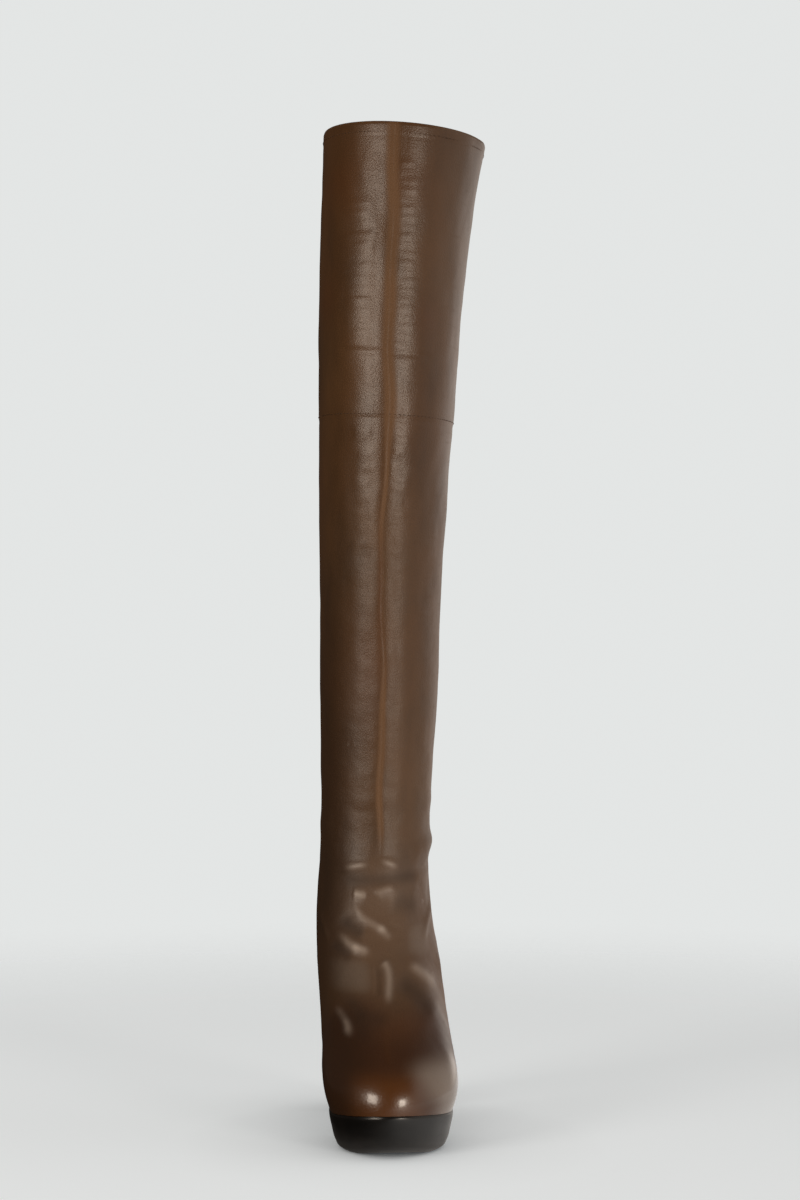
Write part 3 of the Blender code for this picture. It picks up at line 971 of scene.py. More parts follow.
@dataclass(frozen=True)
class Lacquer(Finish):
    """Dark satin lacquer with fine scuffs and a little dust near the floor."""

    specular: float = 0.65
    bump_depth: float = 0.00012
    bump_strength: float = 0.25
    base: Colour = (0.0028, 0.0026, 0.0024)
    brown: Colour = (0.0072, 0.0060, 0.0052)
    dust: Colour = (0.11, 0.10, 0.09)
    roughness: float = 0.30

    def wire(self, w: Wiring) -> dict[str, Socket]:
        """Wire the lacquer.

        Args:
            w: wiring of the material.

        Returns:
            Values for the shader's inputs, and a height for the bump.
        """
        tone = EFFECTS.place(w, "patchy_tone", scale=60.0, sharpness=0.2)["Mask"]
        marks = EFFECTS.place(w, "scuffs", scale=110.0, amount=0.6)["Mask"]
        dust = EFFECTS.place(w, "floor_dust", reach=0.016, amount=0.35)["Mask"]
        colour = w.mix(tone, self.base, self.brown)
        colour = w.coats(colour, (marks, 0.25, self.brown), (dust, 1.0, self.dust))
        rough = w.plus(self.roughness, (marks, 0.2), (dust, 1.0))
        return {"Base Color": colour, "Roughness": rough, "Height": tone}


@dataclass(frozen=True)
class LiftRubber(Finish):
    """Matt black rubber, grey with dust where it wears."""

    base: Colour = (0.011, 0.0105, 0.010)
    worn: Colour = (0.060, 0.056, 0.052)
    roughness: float = 0.62

    def wire(self, w: Wiring) -> dict[str, Socket]:
        """Wire the rubber.

        Args:
            w: wiring of the material.

        Returns:
            Values for the shader's inputs, and a height for the bump.
        """
        tone = EFFECTS.place(w, "patchy_tone", scale=120.0, sharpness=0.3)["Mask"]
        dust = EFFECTS.place(w, "floor_dust", reach=0.007, amount=0.9)["Mask"]
        grain = EFFECTS.place(w, "leather_grain", scale=1600.0, wander=0.8)
        worn = w.times(tone, dust)
        colour = w.mix(worn, self.base, self.worn)
        rough = w.plus(self.roughness, (worn, 0.25))
        return {"Base Color": colour, "Roughness": rough, "Height": grain["Height"]}


@dataclass(frozen=True)
class LiningLeather(Finish):
    """Matt tan lining, darker where the foot has rubbed it."""

    bump_depth: float = 0.00015
    pale: Colour = (0.30, 0.185, 0.105)
    dark: Colour = (0.17, 0.095, 0.050)
    roughness: float = 0.68

    def wire(self, w: Wiring) -> dict[str, Socket]:
        """Wire the lining.

        Args:
            w: wiring of the material.

        Returns:
            Values for the shader's inputs, and a height for the bump.
        """
        tone = EFFECTS.place(w, "patchy_tone", scale=34.0, sharpness=0.3)["Mask"]
        grain = EFFECTS.place(w, "leather_grain", scale=1300.0, wander=0.5)
        colour = w.coats(w.mix(tone, self.dark, self.pale), (grain["Pores"], 0.4, self.dark))
        rough = w.plus(self.roughness, (tone, -0.08))
        return {"Base Color": colour, "Roughness": rough, "Height": grain["Height"]}


@dataclass(frozen=True)
class SeamThread(Finish):
    """Waxed brown thread with a twist."""

    bump_strength: float = 0.6
    dark: Colour = (0.050, 0.024, 0.011)
    light: Colour = (0.125, 0.060, 0.026)
    roughness: float = 0.5
    twist_scale: float = 900.0

    def wire(self, w: Wiring) -> dict[str, Socket]:
        """Wire the thread.

        Args:
            w: wiring of the material.

        Returns:
            Values for the shader's inputs, and a height for the bump.
        """
        twist = {"Vector": w.places(), "Scale": self.twist_scale, "Distortion": 1.5}
        wave = w.out("TexWave", twist, "Fac", bands_direction="DIAGONAL")
        tone = EFFECTS.place(w, "patchy_tone", scale=80.0, sharpness=0.3)["Mask"]
        colour = w.mix(tone, self.dark, self.light)
        rough = w.plus(self.roughness, (wave, 0.15))
        return {"Base Color": colour, "Roughness": rough, "Height": wave}


def add_object(name: str, data: bpy.types.ID) -> bpy.types.Object:
    """Put a new object with its data into the scene.

    Args:
        name: name of the object.
        data: its mesh, light or camera.

    Returns:
        The new object.
    """
    made = bpy.data.objects.new(name, data)
    bpy.context.scene.collection.objects.link(made)
    return made


def mesh_piece(name: str, points: Array, faces: Faces, finish: Finish) -> bpy.types.Object:
    """One smooth-shaded object in scene coordinates.

    Args:
        name: name of the piece.
        points: its points.
        faces: its faces, facing outward.
        finish: finish that makes its material.

    Returns:
        The new object.
    """
    mesh = bpy.data.meshes.new(name)
    mesh.from_pydata(points.reshape(-1, 3).tolist(), [], faces)
    mesh.materials.append(finish.material())
    mesh.shade_smooth()
    mesh.set_sharp_from_angle(angle=SHARP_ANGLE)
    return add_object(name, mesh)


def seat(piece: bpy.types.Object, node: Node | None = None) -> None:
    """Let a piece ride on the boot and the solid that it stands for, and log it.

    Args:
        piece: the piece.
        node: solid that it stands for, if any.
    """
    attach(piece, BODY)
    if node is not None:
        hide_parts(node.value)
    LOG.info("%s: %d faces", piece.name, len(piece.data.polygons))


def column_angles(count: int) -> Array:
    """Angles of columns from the heel's back round the inner side, the toe and the outer side."""
    return np.linspace(-180, 180, count, endpoint=False)


def loop_faces(low: int, high: int, count: int) -> Faces:
    """Faces between two closed rings of points, given each ring's first index."""
    return [(low + j, low + (j + 1) % count, high + (j + 1) % count, high + j) for j in range(count)]


def ring_faces(rows: int, count: int, downward: bool, closed: bool = False) -> Faces:
    """Faces of a skin whose rings of points follow each other.

    Args:
        rows: number of rings.
        count: points in a ring.
        downward: True where the rings run down the outside.
        closed: True where the last ring meets the first.

    Returns:
        The faces between the rings.
    """
    faces = []
    for i in range(rows if closed else rows - 1):
        ends = (i * count, (i + 1) % rows * count)
        faces += loop_faces(*(ends[::-1] if downward else ends), count)
    return faces


def across_faces(start: int, count: int, upward: bool) -> Faces:
    """Faces that close a ring of columns straight across from the inner to the outer side.

    Args:
        start: first index of the ring, which starts at the heel's back.
        count: number of columns.
        upward: True where the faces look up.

    Returns:
        The closing faces.
    """
    faces = []
    for step in range(count // 2):
        inner = [start + step, start + step + 1]
        outer = [start + (count - step - 1) % count, start + (count - step) % count]
        face = list(dict.fromkeys(inner + outer))
        faces.append(tuple(face if upward else reversed(face)))
    return faces


def plate_faces(rows: int, count: int) -> Faces:
    """Faces of a plate whose rings run from its upper face to its lower one."""
    caps = across_faces(0, count, True) + across_faces((rows - 1) * count, count, False)
    return caps + ring_faces(rows, count, downward=True)


def paint(piece: bpy.types.Object, name: str, values: Array) -> None:
    """Keep a value on each point of a piece for its material."""
    attribute = piece.data.attributes.new(name, "FLOAT", "POINT")
    attribute.data.foreach_set("value", np.asarray(values, np.float32).ravel())


def way_along(line: Array) -> Array:
    """Way from a line's first point to each of its points."""
    return np.concatenate([[0], np.cumsum(np.linalg.norm(np.diff(line, axis=0), axis=1))])


@dataclass(frozen=True)
class LeatherMasks:
    """Where the leather changes colour and gloss, painted shade and painted sheen among them.

    The wave is a reach and a run; the toe's slant is a slope, the height where it starts and its depth.
    """

    vamp_wave: Place = (4.0, 9.0)
    toe_slant: Point = (0.9, 53.0, 20.0)
    # Strength of the painted sheen on the outer toe
    toe_sheen: float = 2.2
    toe_gloss: float = 0.95
    red_facing: Step = Step(-0.1, 0.3)

    def read(self, points: Array, normals: Array, angles: Array) -> dict[str, Array]:
        """Read the masks on the outer skin.

        Args:
            points: rows of points of the plain form.
            normals: its outward normals.
            angles: column angles.

        Returns:
            Mask values by the name that the leather's material reads.
        """
        across, forward, height = np.moveaxis(points / MM, -1, 0)
        wave, run = self.vamp_wave
        slope, top, depth = self.toe_slant
        stations = {
            "across": across, "forward": forward, "height": height, "angle": angles,
            "ahead": normals[..., 1], "upward": normals[..., 2],
            "waved": height + wave * np.sin(across / run),
            "slanted": across - slope * np.clip(top - height, 0, depth),
        }
        masks = {}
        for name, terms in MASKS.items():
            masks[name] = math.prod(shape.at(stations[key]) for key, shape in terms)
        outer_toe, instep = masks.pop("outer_toe"), masks.pop("instep")
        # Painted shade on the lower inner side and on the inner part of the vamp
        masks["painted_inner_shade"] = np.maximum(masks.pop("inner"), masks["vamp"] * masks.pop("vamp_inner_shade"))
        masks["toe"] = np.maximum(masks["toe"], self.toe_gloss * outer_toe)
        # Painted sheen on the instep, the outer toe and the paler patches
        pale = [patch.at(across, height) for patch in SHEEN_PATCHES]
        masks["painted_sheen"] = np.max([instep, self.toe_sheen * outer_toe] + pale, axis=0)
        red = sum(patch.at(across, height) for patch in RED_PATCHES)
        masks["reddened"] = red * self.red_facing.at(stations["ahead"])
        return masks


@dataclass
class Upper:
    """Leather upper with its lining and its stitch rows; relief and seam places in millimetres.

    Seam waves are a reach and a run, the tan's wave a mean, a swing and a pitch, and slack waves a lift,
    a width, a height and a shift. The stitch profile gives place, thickness and rise along one stitch.
    """

    form: BootForm
    columns: int = 200
    foot_spacing: float = 1.35 * MM
    foot_steps: int = 600
    ankle_spacing: float = 1.4 * MM
    shaft_spacing: float = 3.6 * MM
    rippled_spacing: float = 1.9 * MM
    rippled_from: float = 392 * MM
    thigh_spacing: float = 1.6 * MM
    ankle_top: float = 262 * MM
    knee_rows: tuple[float, ...] = (-4.8, -3.4, -2.4, -1.6, -0.8, 0.0, 0.7, 1.4, 2.4)
    fold_rows: tuple[float, ...] = (-2.4, -1.6, -1.0, -0.6, -0.2, 0.2, 0.6, 1.0, 1.6, 2.4)
    rim_rows: tuple[float, ...] = (-2.4, -1.4, -0.7, -0.25, 0.0)
    leather: float = 1.4 * MM
    wall: float = 2.0 * MM
    hem: float = 12 * MM
    hem_gap: float = 0.8 * MM
    hem_shares: Point = (0.125, 0.5, 1.0)
    rim_shares: Place = (0.5, 0.9)
    rim_lift: float = 0.45 * MM
    inner_start: float = 8 * MM
    inner_foot_rows: int = 18
    inner_shaft_rows: int = 22
    fold_height: float = 9 * MM
    panel_step: Step = Step(-1.4, 2.4, 0.20)
    knee_groove: Bell = Bell(-0.4, 2.6, height=-0.22)
    knee_edge: Bell = Bell(0.9, 0.9, height=0.05)
    fold_step: Step = Step(-0.6, 1.2, 0.07)
    fold_groove: Bell = Bell(-0.4, 1.6, height=-0.06)
    rim_step: Step = Step(-1.8, 0.0)
    rim_round: float = 0.60
    rim_edge: Step = Step(-1.6, 0.0, 0.5)
    seam_waves: tuple[Place, Place] = ((0.9, 23.0), (0.5, 9.7))
    seam_bow: Bell = Bell(385, 85, 4, -2.6)
    seam_start: Step = Step(0, 30)
    tan_start: Step = Step(4, 30)
    tan_faint: Bell = Bell(358, 48, 4, -0.80)
    tan_wave: Point = (0.88, 0.12, 0.09)
    strip_half: float = 1.5
    strip_thigh: Step = Step(-34, 8, 2.9)
    strip_low: Step = Step(330, 270, 0.9)
    strip_edge: Bell = Bell(0, 1, 4)
    seam_ridge: Step = Step(1.6, 0.35, 0.60)
    seam_groove: Bell = Bell(0, 0.7, height=-0.22)
    inner_flank: Step = Step(12.5, 1.5, 0.75)
    outer_flank: Step = Step(10.5, 1.5, 0.60)
    back_ridge: Bell = Bell(0, 2.4, 4, 0.35)
    back_groove: Bell = Bell(0, 0.9, height=-0.45)
    front_facing: Step = Step(-0.05, 0.25)
    facing_upward: float = 0.6
    front_columns: Step = Step(-1 / 9, 1 / 6)
    deepest_trough: float = 1.25
    # Lift at which a crest takes its full painted highlight, and how fast that painted highlight fades below
    # it
    highlight_lift: float = 1.60
    highlight_falloff: float = 1.8
    slack_waves: tuple[tuple[float, float, float, float], ...] = ((0.50, 26, 34, 0), (0.20, 11, 13, 40))
    slack_calm: Step = Step(150, 205, 0.85)
    fold_foot: Step = Step(0, 0.05)
    lining_columns: int = 96
    lining_rise: float = 1.5 * MM
    lining_step: float = 2.4 * MM
    lining_near: float = 0.1 * MM
    lining_far: float = 0.15 * MM
    stitch_pitch: float = 3.6 * MM
    stitch_length: float = 2.8 * MM
    stitch_sides: int = 6
    stitch_profile: tuple[Point, ...] = (
        (-0.5, 0.35, -0.9), (-0.38, 0.9, -0.1), (0.0, 1.0, 0.35), (0.38, 0.9, -0.1), (0.5, 0.35, -0.9),
    )
    collar_stitch_rise: float = 2.2 * MM
    knee_stitch_rise: float = 2.6 * MM
    knee_stitch_relief: float = 0.1
    thread: float = 0.26 * MM
    masks: LeatherMasks = LeatherMasks()
    angles: Array = field(init=False)

    def __post_init__(self) -> None:
        """Set the column angles."""
        self.angles = column_angles(self.columns)

    def _foot_shares(self) -> Array:
        """Space the foot's rows evenly along the front seam.

        Returns:
            Shares of the way up the foot.
        """
        fine = np.linspace(0, 1, self.foot_steps)
        lengths = way_along(self.form.foot(np.array([0.0]), fine)[:, 0])
        marks = np.linspace(0, lengths[-1], int(lengths[-1] / self.foot_spacing))
        return np.interp(marks, lengths, fine)[:-1]

    def _heights(self) -> Array:
        """Space the shaft's rows, close at the ankle, at the knee seam and at the folded collar.

        Returns:
            Row heights.
        """
        form = self.form
        knee = form.knee_seam_height + np.array(self.knee_rows) * MM
        edge = form.collar_height - self.fold_height + np.array(self.fold_rows) * MM
        rim = form.collar_height + np.array(self.rim_rows) * MM
        low = np.arange(form.ankle_height, self.ankle_top, self.ankle_spacing)
        middle = np.arange(self.ankle_top, self.rippled_from, self.shaft_spacing)
        rippled = np.arange(self.rippled_from, knee[0] - MM, self.rippled_spacing)
        high = np.arange(knee[-1] + self.thigh_spacing, edge[0] - MM, self.thigh_spacing)
        return np.concatenate([low, middle, rippled, knee, high, edge, rim])

    def _girths(self, rows: Array, column: int) -> Array:
        """Measure the way round each row from one column.

        Args:
            rows: rows of points that are closed rings.
            column: column that the way is counted from.

        Returns:
            Ways in millimetres, up to half the round, positive in the order of the columns.
        """
        rolled = np.roll(rows, -column, axis=1)
        steps = np.linalg.norm(np.roll(rolled, -1, axis=1) - rolled, axis=2)
        ways = np.concatenate([np.zeros((len(rows), 1)), np.cumsum(steps, axis=1)[:, :-1]], axis=1)
        whole = steps.sum(axis=1, keepdims=True)
        signed = np.where(ways > whole / 2, ways - whole, ways)
        return np.roll(signed, column, axis=1) / MM

    def _normals(self, rows: Array) -> Array:
        """Outward unit normals of rows that are closed rings, in maker's stations."""
        along = np.roll(rows, -1, axis=1) - np.roll(rows, 1, axis=1)
        return unit(np.cross(np.gradient(rows, axis=0), along))

    def _folds(self, rows: Array, normals: Array) -> tuple[Array, Array, Array]:
        """Lift of all the creases in millimetres, and masks of the ankle's crests and hollows.

        Args:
            rows: points of the plain form.
            normals: its outward normals.

        Returns:
            Lift, negative in the troughs, then masks from 0 to 1 of the painted highlight on the crests and
            the painted shade in the hollows.
        """
        height = rows[..., 2] / MM
        sides = {
            Reach.FRONT: rows[..., 0] / MM,
            Reach.GIRTH: self._girths(rows, self.columns // 2),
            Reach.BACK: self._girths(rows, 0),
        }
        places = {reach: np.stack([side, height], axis=-1).reshape(-1, 2) for reach, side in sides.items()}
        facing = self.front_facing.at(normals[..., 1] + self.facing_upward * normals[..., 2])
        facing = facing * self.front_columns.at(np.cos(np.radians(self.angles)))
        lifts, crests, hollows = np.zeros((3, *height.shape))
        for fold in SHAFT_FOLDS + ANKLE_FOLDS + SIDE_FOLDS:
            lift = fold.lift(places[fold.reach]).reshape(height.shape)
            if fold.reach is Reach.FRONT:
                lift = lift * facing
            if fold in ANKLE_FOLDS:
                crests += np.maximum(lift, 0)
                hollows += np.maximum(-lift, 0)
            lifts += lift
        lifts = np.where(lifts < 0, self.deepest_trough * np.tanh(lifts / self.deepest_trough), lifts)
        crests = np.clip(crests / self.highlight_lift, 0, 1) ** self.highlight_falloff
        return lifts, crests, np.clip(hollows - crests, 0, 1)

    def _slack(self, rows: Array) -> Array:
        """Soft unevenness of worn leather, calm at the toe.

        Args:
            rows: points of the plain form.

        Returns:
            Lift in millimetres.
        """
        points = (rows / MM).reshape(-1, 3)
        slack = np.zeros(len(points))
        for lift, wide, tall, shift in self.slack_waves:
            places = points / [wide, wide, tall] + [shift, 0, 0]
            slack += lift * np.array([noise.noise(Vector(place)) for place in places])
        return (slack * (1 - self.slack_calm.at(points[:, 1]))).reshape(rows.shape[:2])

    def _seams(self, rows: Array, shares: Array, heights: Array) -> tuple[Array, Array]:
        """Relief and tan strip of the front, back, knee and collar seams.

        Args:
            rows: points of the plain form.
            shares: shares of the foot's rows.
            heights: heights of the shaft's rows.

        Returns:
            Relief in millimetres and the strip's mask from 0 to 1.
        """
        form = self.form
        ankle, knee, collar = np.array([form.ankle_height, form.knee_seam_height, form.collar_height]) / MM
        fold = collar - self.fold_height / MM
        rise = np.concatenate([np.full(len(shares), ankle), heights / MM])[:, None]
        level = self.panel_step.at(rise, knee) + self.knee_groove.at(rise, knee)
        level = level + self.fold_step.at(rise, fold) + self.fold_groove.at(rise, fold)
        level = level - self.rim_round * self.rim_step.at(rise, collar) ** 2
        sway = sum(reach * np.sin(rise / run) for reach, run in self.seam_waves) + self.seam_bow.at(rise)
        beside = self._girths(rows, self.columns // 2) - sway
        front, back = np.abs(beside), np.abs(self._girths(rows, 0))
        strip = self.strip_half + self.strip_thigh.at(rise, knee) + self.strip_low.at(rise)
        flank = np.where(beside < 0, self.inner_flank.at(front), self.outer_flank.at(front))
        ridge = np.maximum(self.seam_ridge.at(front / strip), flank) + self.seam_groove.at(front)
        relief = level + self.seam_start.at(rise, ankle) * ridge
        relief = relief + self.back_ridge.at(back) + self.back_groove.at(back)
        even, uneven, pitch = self.tan_wave
        tan = self.tan_start.at(rise, ankle) * self.strip_edge.at(front / strip)
        tan = tan * (1 + self.tan_faint.at(rise)) * (even + uneven * np.sin(pitch * rise))
        edges = self.knee_edge.at(rise, knee) + self.rim_edge.at(rise, collar)
        return relief, np.clip(np.maximum(tan, edges), 0, 1)

    def _inner_rows(self, columns: Array, offset: float, top: float) -> Array:
        """Rows of an inner skin, from a height down to the feather line.

        Args:
            columns: column angles.
            offset: distance inside the plain form.
            top: height of the first row.

        Returns:
            Rows of points in maker's stations.
        """
        form = self.form
        heights = np.linspace(form.ankle_height + self.inner_start, top, self.inner_shaft_rows)
        shares = np.linspace(0, 1, self.inner_foot_rows)
        rows = np.concatenate([form.foot(columns, shares), form.shaft(columns, heights)])
        moved = rows - self._normals(rows) * offset
        flat = form.inset(columns, offset)
        moved[0] = np.column_stack([flat, form.sole_top(flat[:, 1]) + form.gap])
        return moved[::-1]

    def build(self) -> bpy.types.Object:
        """Make the leather as one closed wall, open at the collar and under the foot.

        Returns:
            The leather piece.
        """
        form = self.form
        shares, heights = self._foot_shares(), self._heights()
        plain = np.concatenate([form.foot(self.angles, shares), form.shaft(self.angles, heights)])
        normals = self._normals(plain)
        folds, crests, hollows = self._folds(plain, normals)
        seams, strip = self._seams(plain, shares, heights)
        loose = self.fold_foot.at(np.concatenate([shares, np.ones(len(heights))]))[:, None]
        outer = plain + normals * ((folds + self._slack(plain)) * loose + seams)[..., None] * MM
        inward = normals[-1:] * [1.0, 1.0, 0.0]
        over, beyond = self.rim_shares
        edge = [(0.0, over * self.wall, self.rim_lift), (0.0, beyond * self.wall, 0.0)]
        edge += [(share * self.hem, self.wall, 0.0) for share in self.hem_shares]
        turned = []
        for drop, inset, lift in edge:
            ring = form.shaft(self.angles, np.full(1, form.collar_height - drop))
            turned.append(ring - inward * inset + [0, 0, lift])
        inner = self._inner_rows(self.angles, self.leather, form.collar_height - self.hem - self.hem_gap)
        rows = np.concatenate([outer] + turned + [inner])
        faces = ring_faces(len(rows), self.columns, downward=False, closed=True)
        piece = mesh_piece("upper_leather", form.placed(rows), faces, UpperLeather("brown_calf"))
        inside = np.zeros((len(rows) - len(outer), self.columns))
        # Crests carry a painted highlight and hollows a painted shade
        painted = {"seam": strip, "crest": crests, "hollow": hollows}
        painted |= self.masks.read(plain, normals, self.angles)
        for name, values in painted.items():
            paint(piece, name, np.concatenate([values, inside]))
        seat(piece, Node.UPPER)
        return piece

    def build_lining(self) -> bpy.types.Object:
        """Make the lining as a thin closed skin inside the leather.

        Returns:
            The lining piece.
        """
        columns = column_angles(self.lining_columns)
        top = self.form.collar_height - self.hem + self.lining_rise
        near = self._inner_rows(columns, self.leather + self.lining_near, top - self.lining_step)
        far = self._inner_rows(columns, self.wall + self.lining_far, top)[::-1]
        rows = np.concatenate([near, far])
        faces = ring_faces(len(rows), len(columns), downward=True, closed=True)
        piece = mesh_piece("upper_lining", self.form.placed(rows), faces, LiningLeather("tan_lining"))
        seat(piece)
        return piece

    def build_stitches(self, name: str, height: float, relief: float) -> bpy.types.Object:
        """Make a row of stitches round the shaft.

        Args:
            name: name of the piece.
            height: height of the row.
            relief: how far the leather stands out there, in metres.

        Returns:
            The stitch row.
        """
        ring = self.form.shaft(self.angles, np.array([height - MM, height, height + MM]))
        normals = self._normals(ring)
        line = self.form.placed((ring + normals * relief)[1])
        out = normals[1] * [1, -1, 1]
        closed = np.hstack([np.vstack([line, line[:1]]), np.vstack([out, out[:1]])])
        lengths = way_along(closed[:, :3])
        whole = lengths[-1]
        count = int(whole / self.stitch_pitch)
        middles = (np.arange(count) + 0.5) * whole / count
        sides = np.linspace(0, 2 * math.pi, self.stitch_sides, endpoint=False)[None, :, None]
        rows = []
        for spot, size, rise in self.stitch_profile:
            at = middles + spot * self.stitch_length
            read = np.stack([np.interp(at, lengths, values, period=whole) for values in closed.T], axis=1)
            centre, away = read[:, None, :3], unit(read[:, 3:])[:, None]
            up = np.array([0.0, 0.0, 1.0]) - away * away[..., 2:]
            turned = np.cos(sides) * away + np.sin(sides) * up
            rows.append(centre + (turned * size + away * rise) * self.thread)
        length = len(rows) * self.stitch_sides
        stitch = ring_faces(len(rows), self.stitch_sides, downward=True)
        stitch.append(tuple(range(self.stitch_sides)))
        stitch.append(tuple(range(length - 1, length - self.stitch_sides - 1, -1)))
        firsts = range(0, count * length, length)
        faces = [tuple(first + i for i in face) for first in firsts for face in stitch]
        piece = mesh_piece(name, np.stack(rows, axis=1), faces, SeamThread("brown_thread"))
        seat(piece)
        return piece

    def dress(self) -> None:
        """Build the leather, its lining and its stitch rows."""
        self.build()
        self.build_lining()
        panel, form = self.panel_step.height, self.form
        collar = form.collar_height - self.fold_height + self.collar_stitch_rise
        self.build_stitches("collar_stitches", collar, (panel + self.fold_step.height) * MM)
        knee = form.knee_seam_height + self.knee_stitch_rise
        self.build_stitches("knee_stitches", knee, (panel + self.knee_stitch_relief) * MM)


@dataclass
class PlatformSole:
    """Lacquered platform that runs on as a thin sole through the waist to the heel seat."""

    form: BootForm
    columns: int = 200
    edge_shares: Point = (0.0, 0.012, 0.035)
    side_start: float = 0.07
    rings: int = 26
    margin: float = 0.4 * MM
    top_round: float = 0.5 * MM
    round_reach: float = 0.05

    def build(self) -> bpy.types.Object:
        """Make the platform with its rounded lower edge.

        Returns:
            The platform piece.
        """
        form = self.form
        angles = column_angles(self.columns)
        edge = form.inset(angles, -self.margin)
        thickness = form.sole_top(edge[:, 1]) - form.sole_bottom(edge[:, 1])
        rows = []
        for share in np.concatenate([self.edge_shares, np.linspace(self.side_start, 1.0, self.rings)]):
            rounding = self.top_round * ease(self.round_reach, 0.0, share)
            inset = smooth(SOLE_SIDE[:, 0], SOLE_SIDE[:, 1], share) * thickness + rounding
            flat = form.inset(angles, inset - self.margin)
            top, bottom = form.sole_top(flat[:, 1]), form.sole_bottom(flat[:, 1])
            rows.append(np.column_stack([flat, top + (bottom - top) * share]))
        faces = plate_faces(len(rows), self.columns)
        return mesh_piece("platform", form.placed(np.array(rows)), faces, Lacquer("dark_lacquer"))

    def dress(self) -> None:
        """Build the platform and seat it."""
        seat(self.build(), Node.PLATFORM)


@dataclass
class BlockHeel:
    """Block heel with its wearing lift."""

    form: BootForm
    breast_angle: float = 132.0
    plan_middle: float = 36.7 * MM
    top_inset: float = 1.2 * MM
    foot_across: float = 0.74
    foot_along: float = 0.76
    foot_shift: float = -1.0 * MM
    flare: float = 0.7
    lift_height: float = 6 * MM
    breast_hollow: float = 3.0 * MM
    back_points: int = 72
    breast_points: int = 24
    rings: int = 30
    bevel: float = 0.7 * MM
    bevel_share: float = 0.006
    lift_bevel: float = 0.6

    def _plan(self, share: float, inset: float) -> Array:
        """Level outline of the heel.

        Args:
            share: share of the way down from the heel seat.
            inset: extra distance inside the outline.

        Returns:
            Across and forward places, from the outer breast corner round the back.
        """
        half = self.back_points // 2
        outer = np.linspace(self.breast_angle, 180, half)
        inner = np.linspace(-180, -self.breast_angle, half)[1:]
        back = self.form.inset(np.concatenate([outer, inner]), self.top_inset + inset)
        start, end = back[-1], back[0]
        steps = np.linspace(0, 1, self.breast_points + 2)[1:-1, None]
        hollow = np.concatenate([np.zeros_like(steps), self.breast_hollow * np.sin(math.pi * steps)], axis=1)
        front = start + (end - start) * steps - hollow - [0, inset]
        plan = np.vstack([back, front])
        middle = np.array([0.0, self.plan_middle])
        size = 1 + (np.array([self.foot_across, self.foot_along]) - 1) * share ** self.flare
        return middle + (plan - middle) * size + [0, self.foot_shift * share]

    def _stack(self, name: str, levels: list[Point], under_seat: bool, finish: Finish) -> bpy.types.Object:
        """A closed solid from level outlines.

        Args:
            name: name of the piece.
            levels: share down the heel, share of this piece's own height from its foot, and inset.
            under_seat: True for the block under the heel seat, False for the lift on the floor.
            finish: finish of the piece.

        Returns:
            The new piece.
        """
        form = self.form
        rows = []
        for share, rise, inset in levels:
            plan = self._plan(share, inset)
            low, high = 0.0, np.full(len(plan), self.lift_height)
            if under_seat:
                low, high = self.lift_height + form.gap, form.sole_bottom(plan[:, 1]) - form.gap
            rows.append(np.column_stack([plan, low + (high - low) * rise]))
        count = len(rows[0])
        last = (len(rows) - 1) * count
        faces = [tuple(range(count)), tuple(range(last + count - 1, last - 1, -1))]
        faces += ring_faces(len(rows), count, downward=True)
        return mesh_piece(name, form.placed(np.array(rows)), faces, finish)

    def dress(self) -> None:
        """Build the heel block and the lift and seat them."""
        inner = 1 - 2 * self.bevel_share
        levels = [(0.0, 1.0, self.bevel)]
        levels += [(1 - r, self.bevel_share + inner * r, 0.0) for r in np.linspace(1, 0, self.rings)]
        levels += [(1.0, 0.0, self.bevel)]
        seat(self._stack("heel_block", levels, True, Lacquer("heel_lacquer")), Node.HEEL)
        edge = self.bevel / self.lift_height
        levels = [(1.0, 1.0, self.bevel * self.lift_bevel), (1.0, 1 - self.lift_bevel * edge, 0.0)]
        levels += [(1.0, edge, 0.0), (1.0, 0.0, self.bevel)]
        seat(self._stack("lift", levels, False, LiftRubber("lift_rubber")), Node.LIFT)


@dataclass
class Insole:
    """Leather sock on the board inside the foot; its profile is inset and rise in millimetres."""

    form: BootForm
    columns: int = 120
    wall: float = 2.0 * MM
    margin: float = 0.6 * MM
    profile: tuple[Place, ...] = ((8, 2.45), (3, 2.3), (0.8, 2.2), (0.1, 1.7), (0, 0.6), (0.2, 0))

    def build(self) -> bpy.types.Object:
        """Make the insole with a rounded, softly crowned top.

        Returns:
            The insole piece.
        """
        form = self.form
        angles = column_angles(self.columns)
        rows = []
        for inset, rise in np.array(self.profile) * MM:
            flat = form.inset(angles, self.wall + self.margin + inset)
            rows.append(np.column_stack([flat, form.sole_top(flat[:, 1]) + form.gap + rise]))
        faces = plate_faces(len(rows), self.columns)
        return mesh_piece("insole_sock", form.placed(np.array(rows)), faces, LiningLeather("sock_leather"))

    def dress(self) -> None:
        """Build the insole and seat it."""
        seat(self.build(), Node.INSOLE)


@dataclass(frozen=True)
class SoftLight:
    """One soft box, aimed at the boot."""

    name: str
    place: Point
    width: float
    height: float
    power: float
    target: Point = (0.0, 0.0, 0.36)
    colour: Colour = (1.0, 0.88, 0.75)
    mirrored: bool = True

    def build(self) -> None:
        """Place the light, unseen by the camera itself."""
        data = bpy.data.lights.new(self.name, "AREA")
        data.shape = "RECTANGLE"
        data.size, data.size_y = self.width, self.height
        data.energy = self.power
        data.color = self.colour
        lamp = add_object(self.name, data)
        lamp.location = self.place
        aim = Vector(self.target) - Vector(self.place)
        lamp.rotation_euler = aim.to_track_quat("-Z", "Y").to_euler()
        lamp.visible_camera = False
        lamp.visible_glossy = self.mirrored


@dataclass(frozen=True)
class Glow:
    """A soft bright patch of the surroundings."""

    turn: float
    rise: float
    inner: float
    outer: float
    colour: Colour

    def way(self) -> Vector:
        """Direction of its middle, turned from the front to the outer side and raised."""
        turn, rise = math.radians(self.turn), math.radians(self.rise)
        return Vector((math.cos(rise) * math.sin(turn), -math.cos(rise) * math.cos(turn), math.sin(rise)))


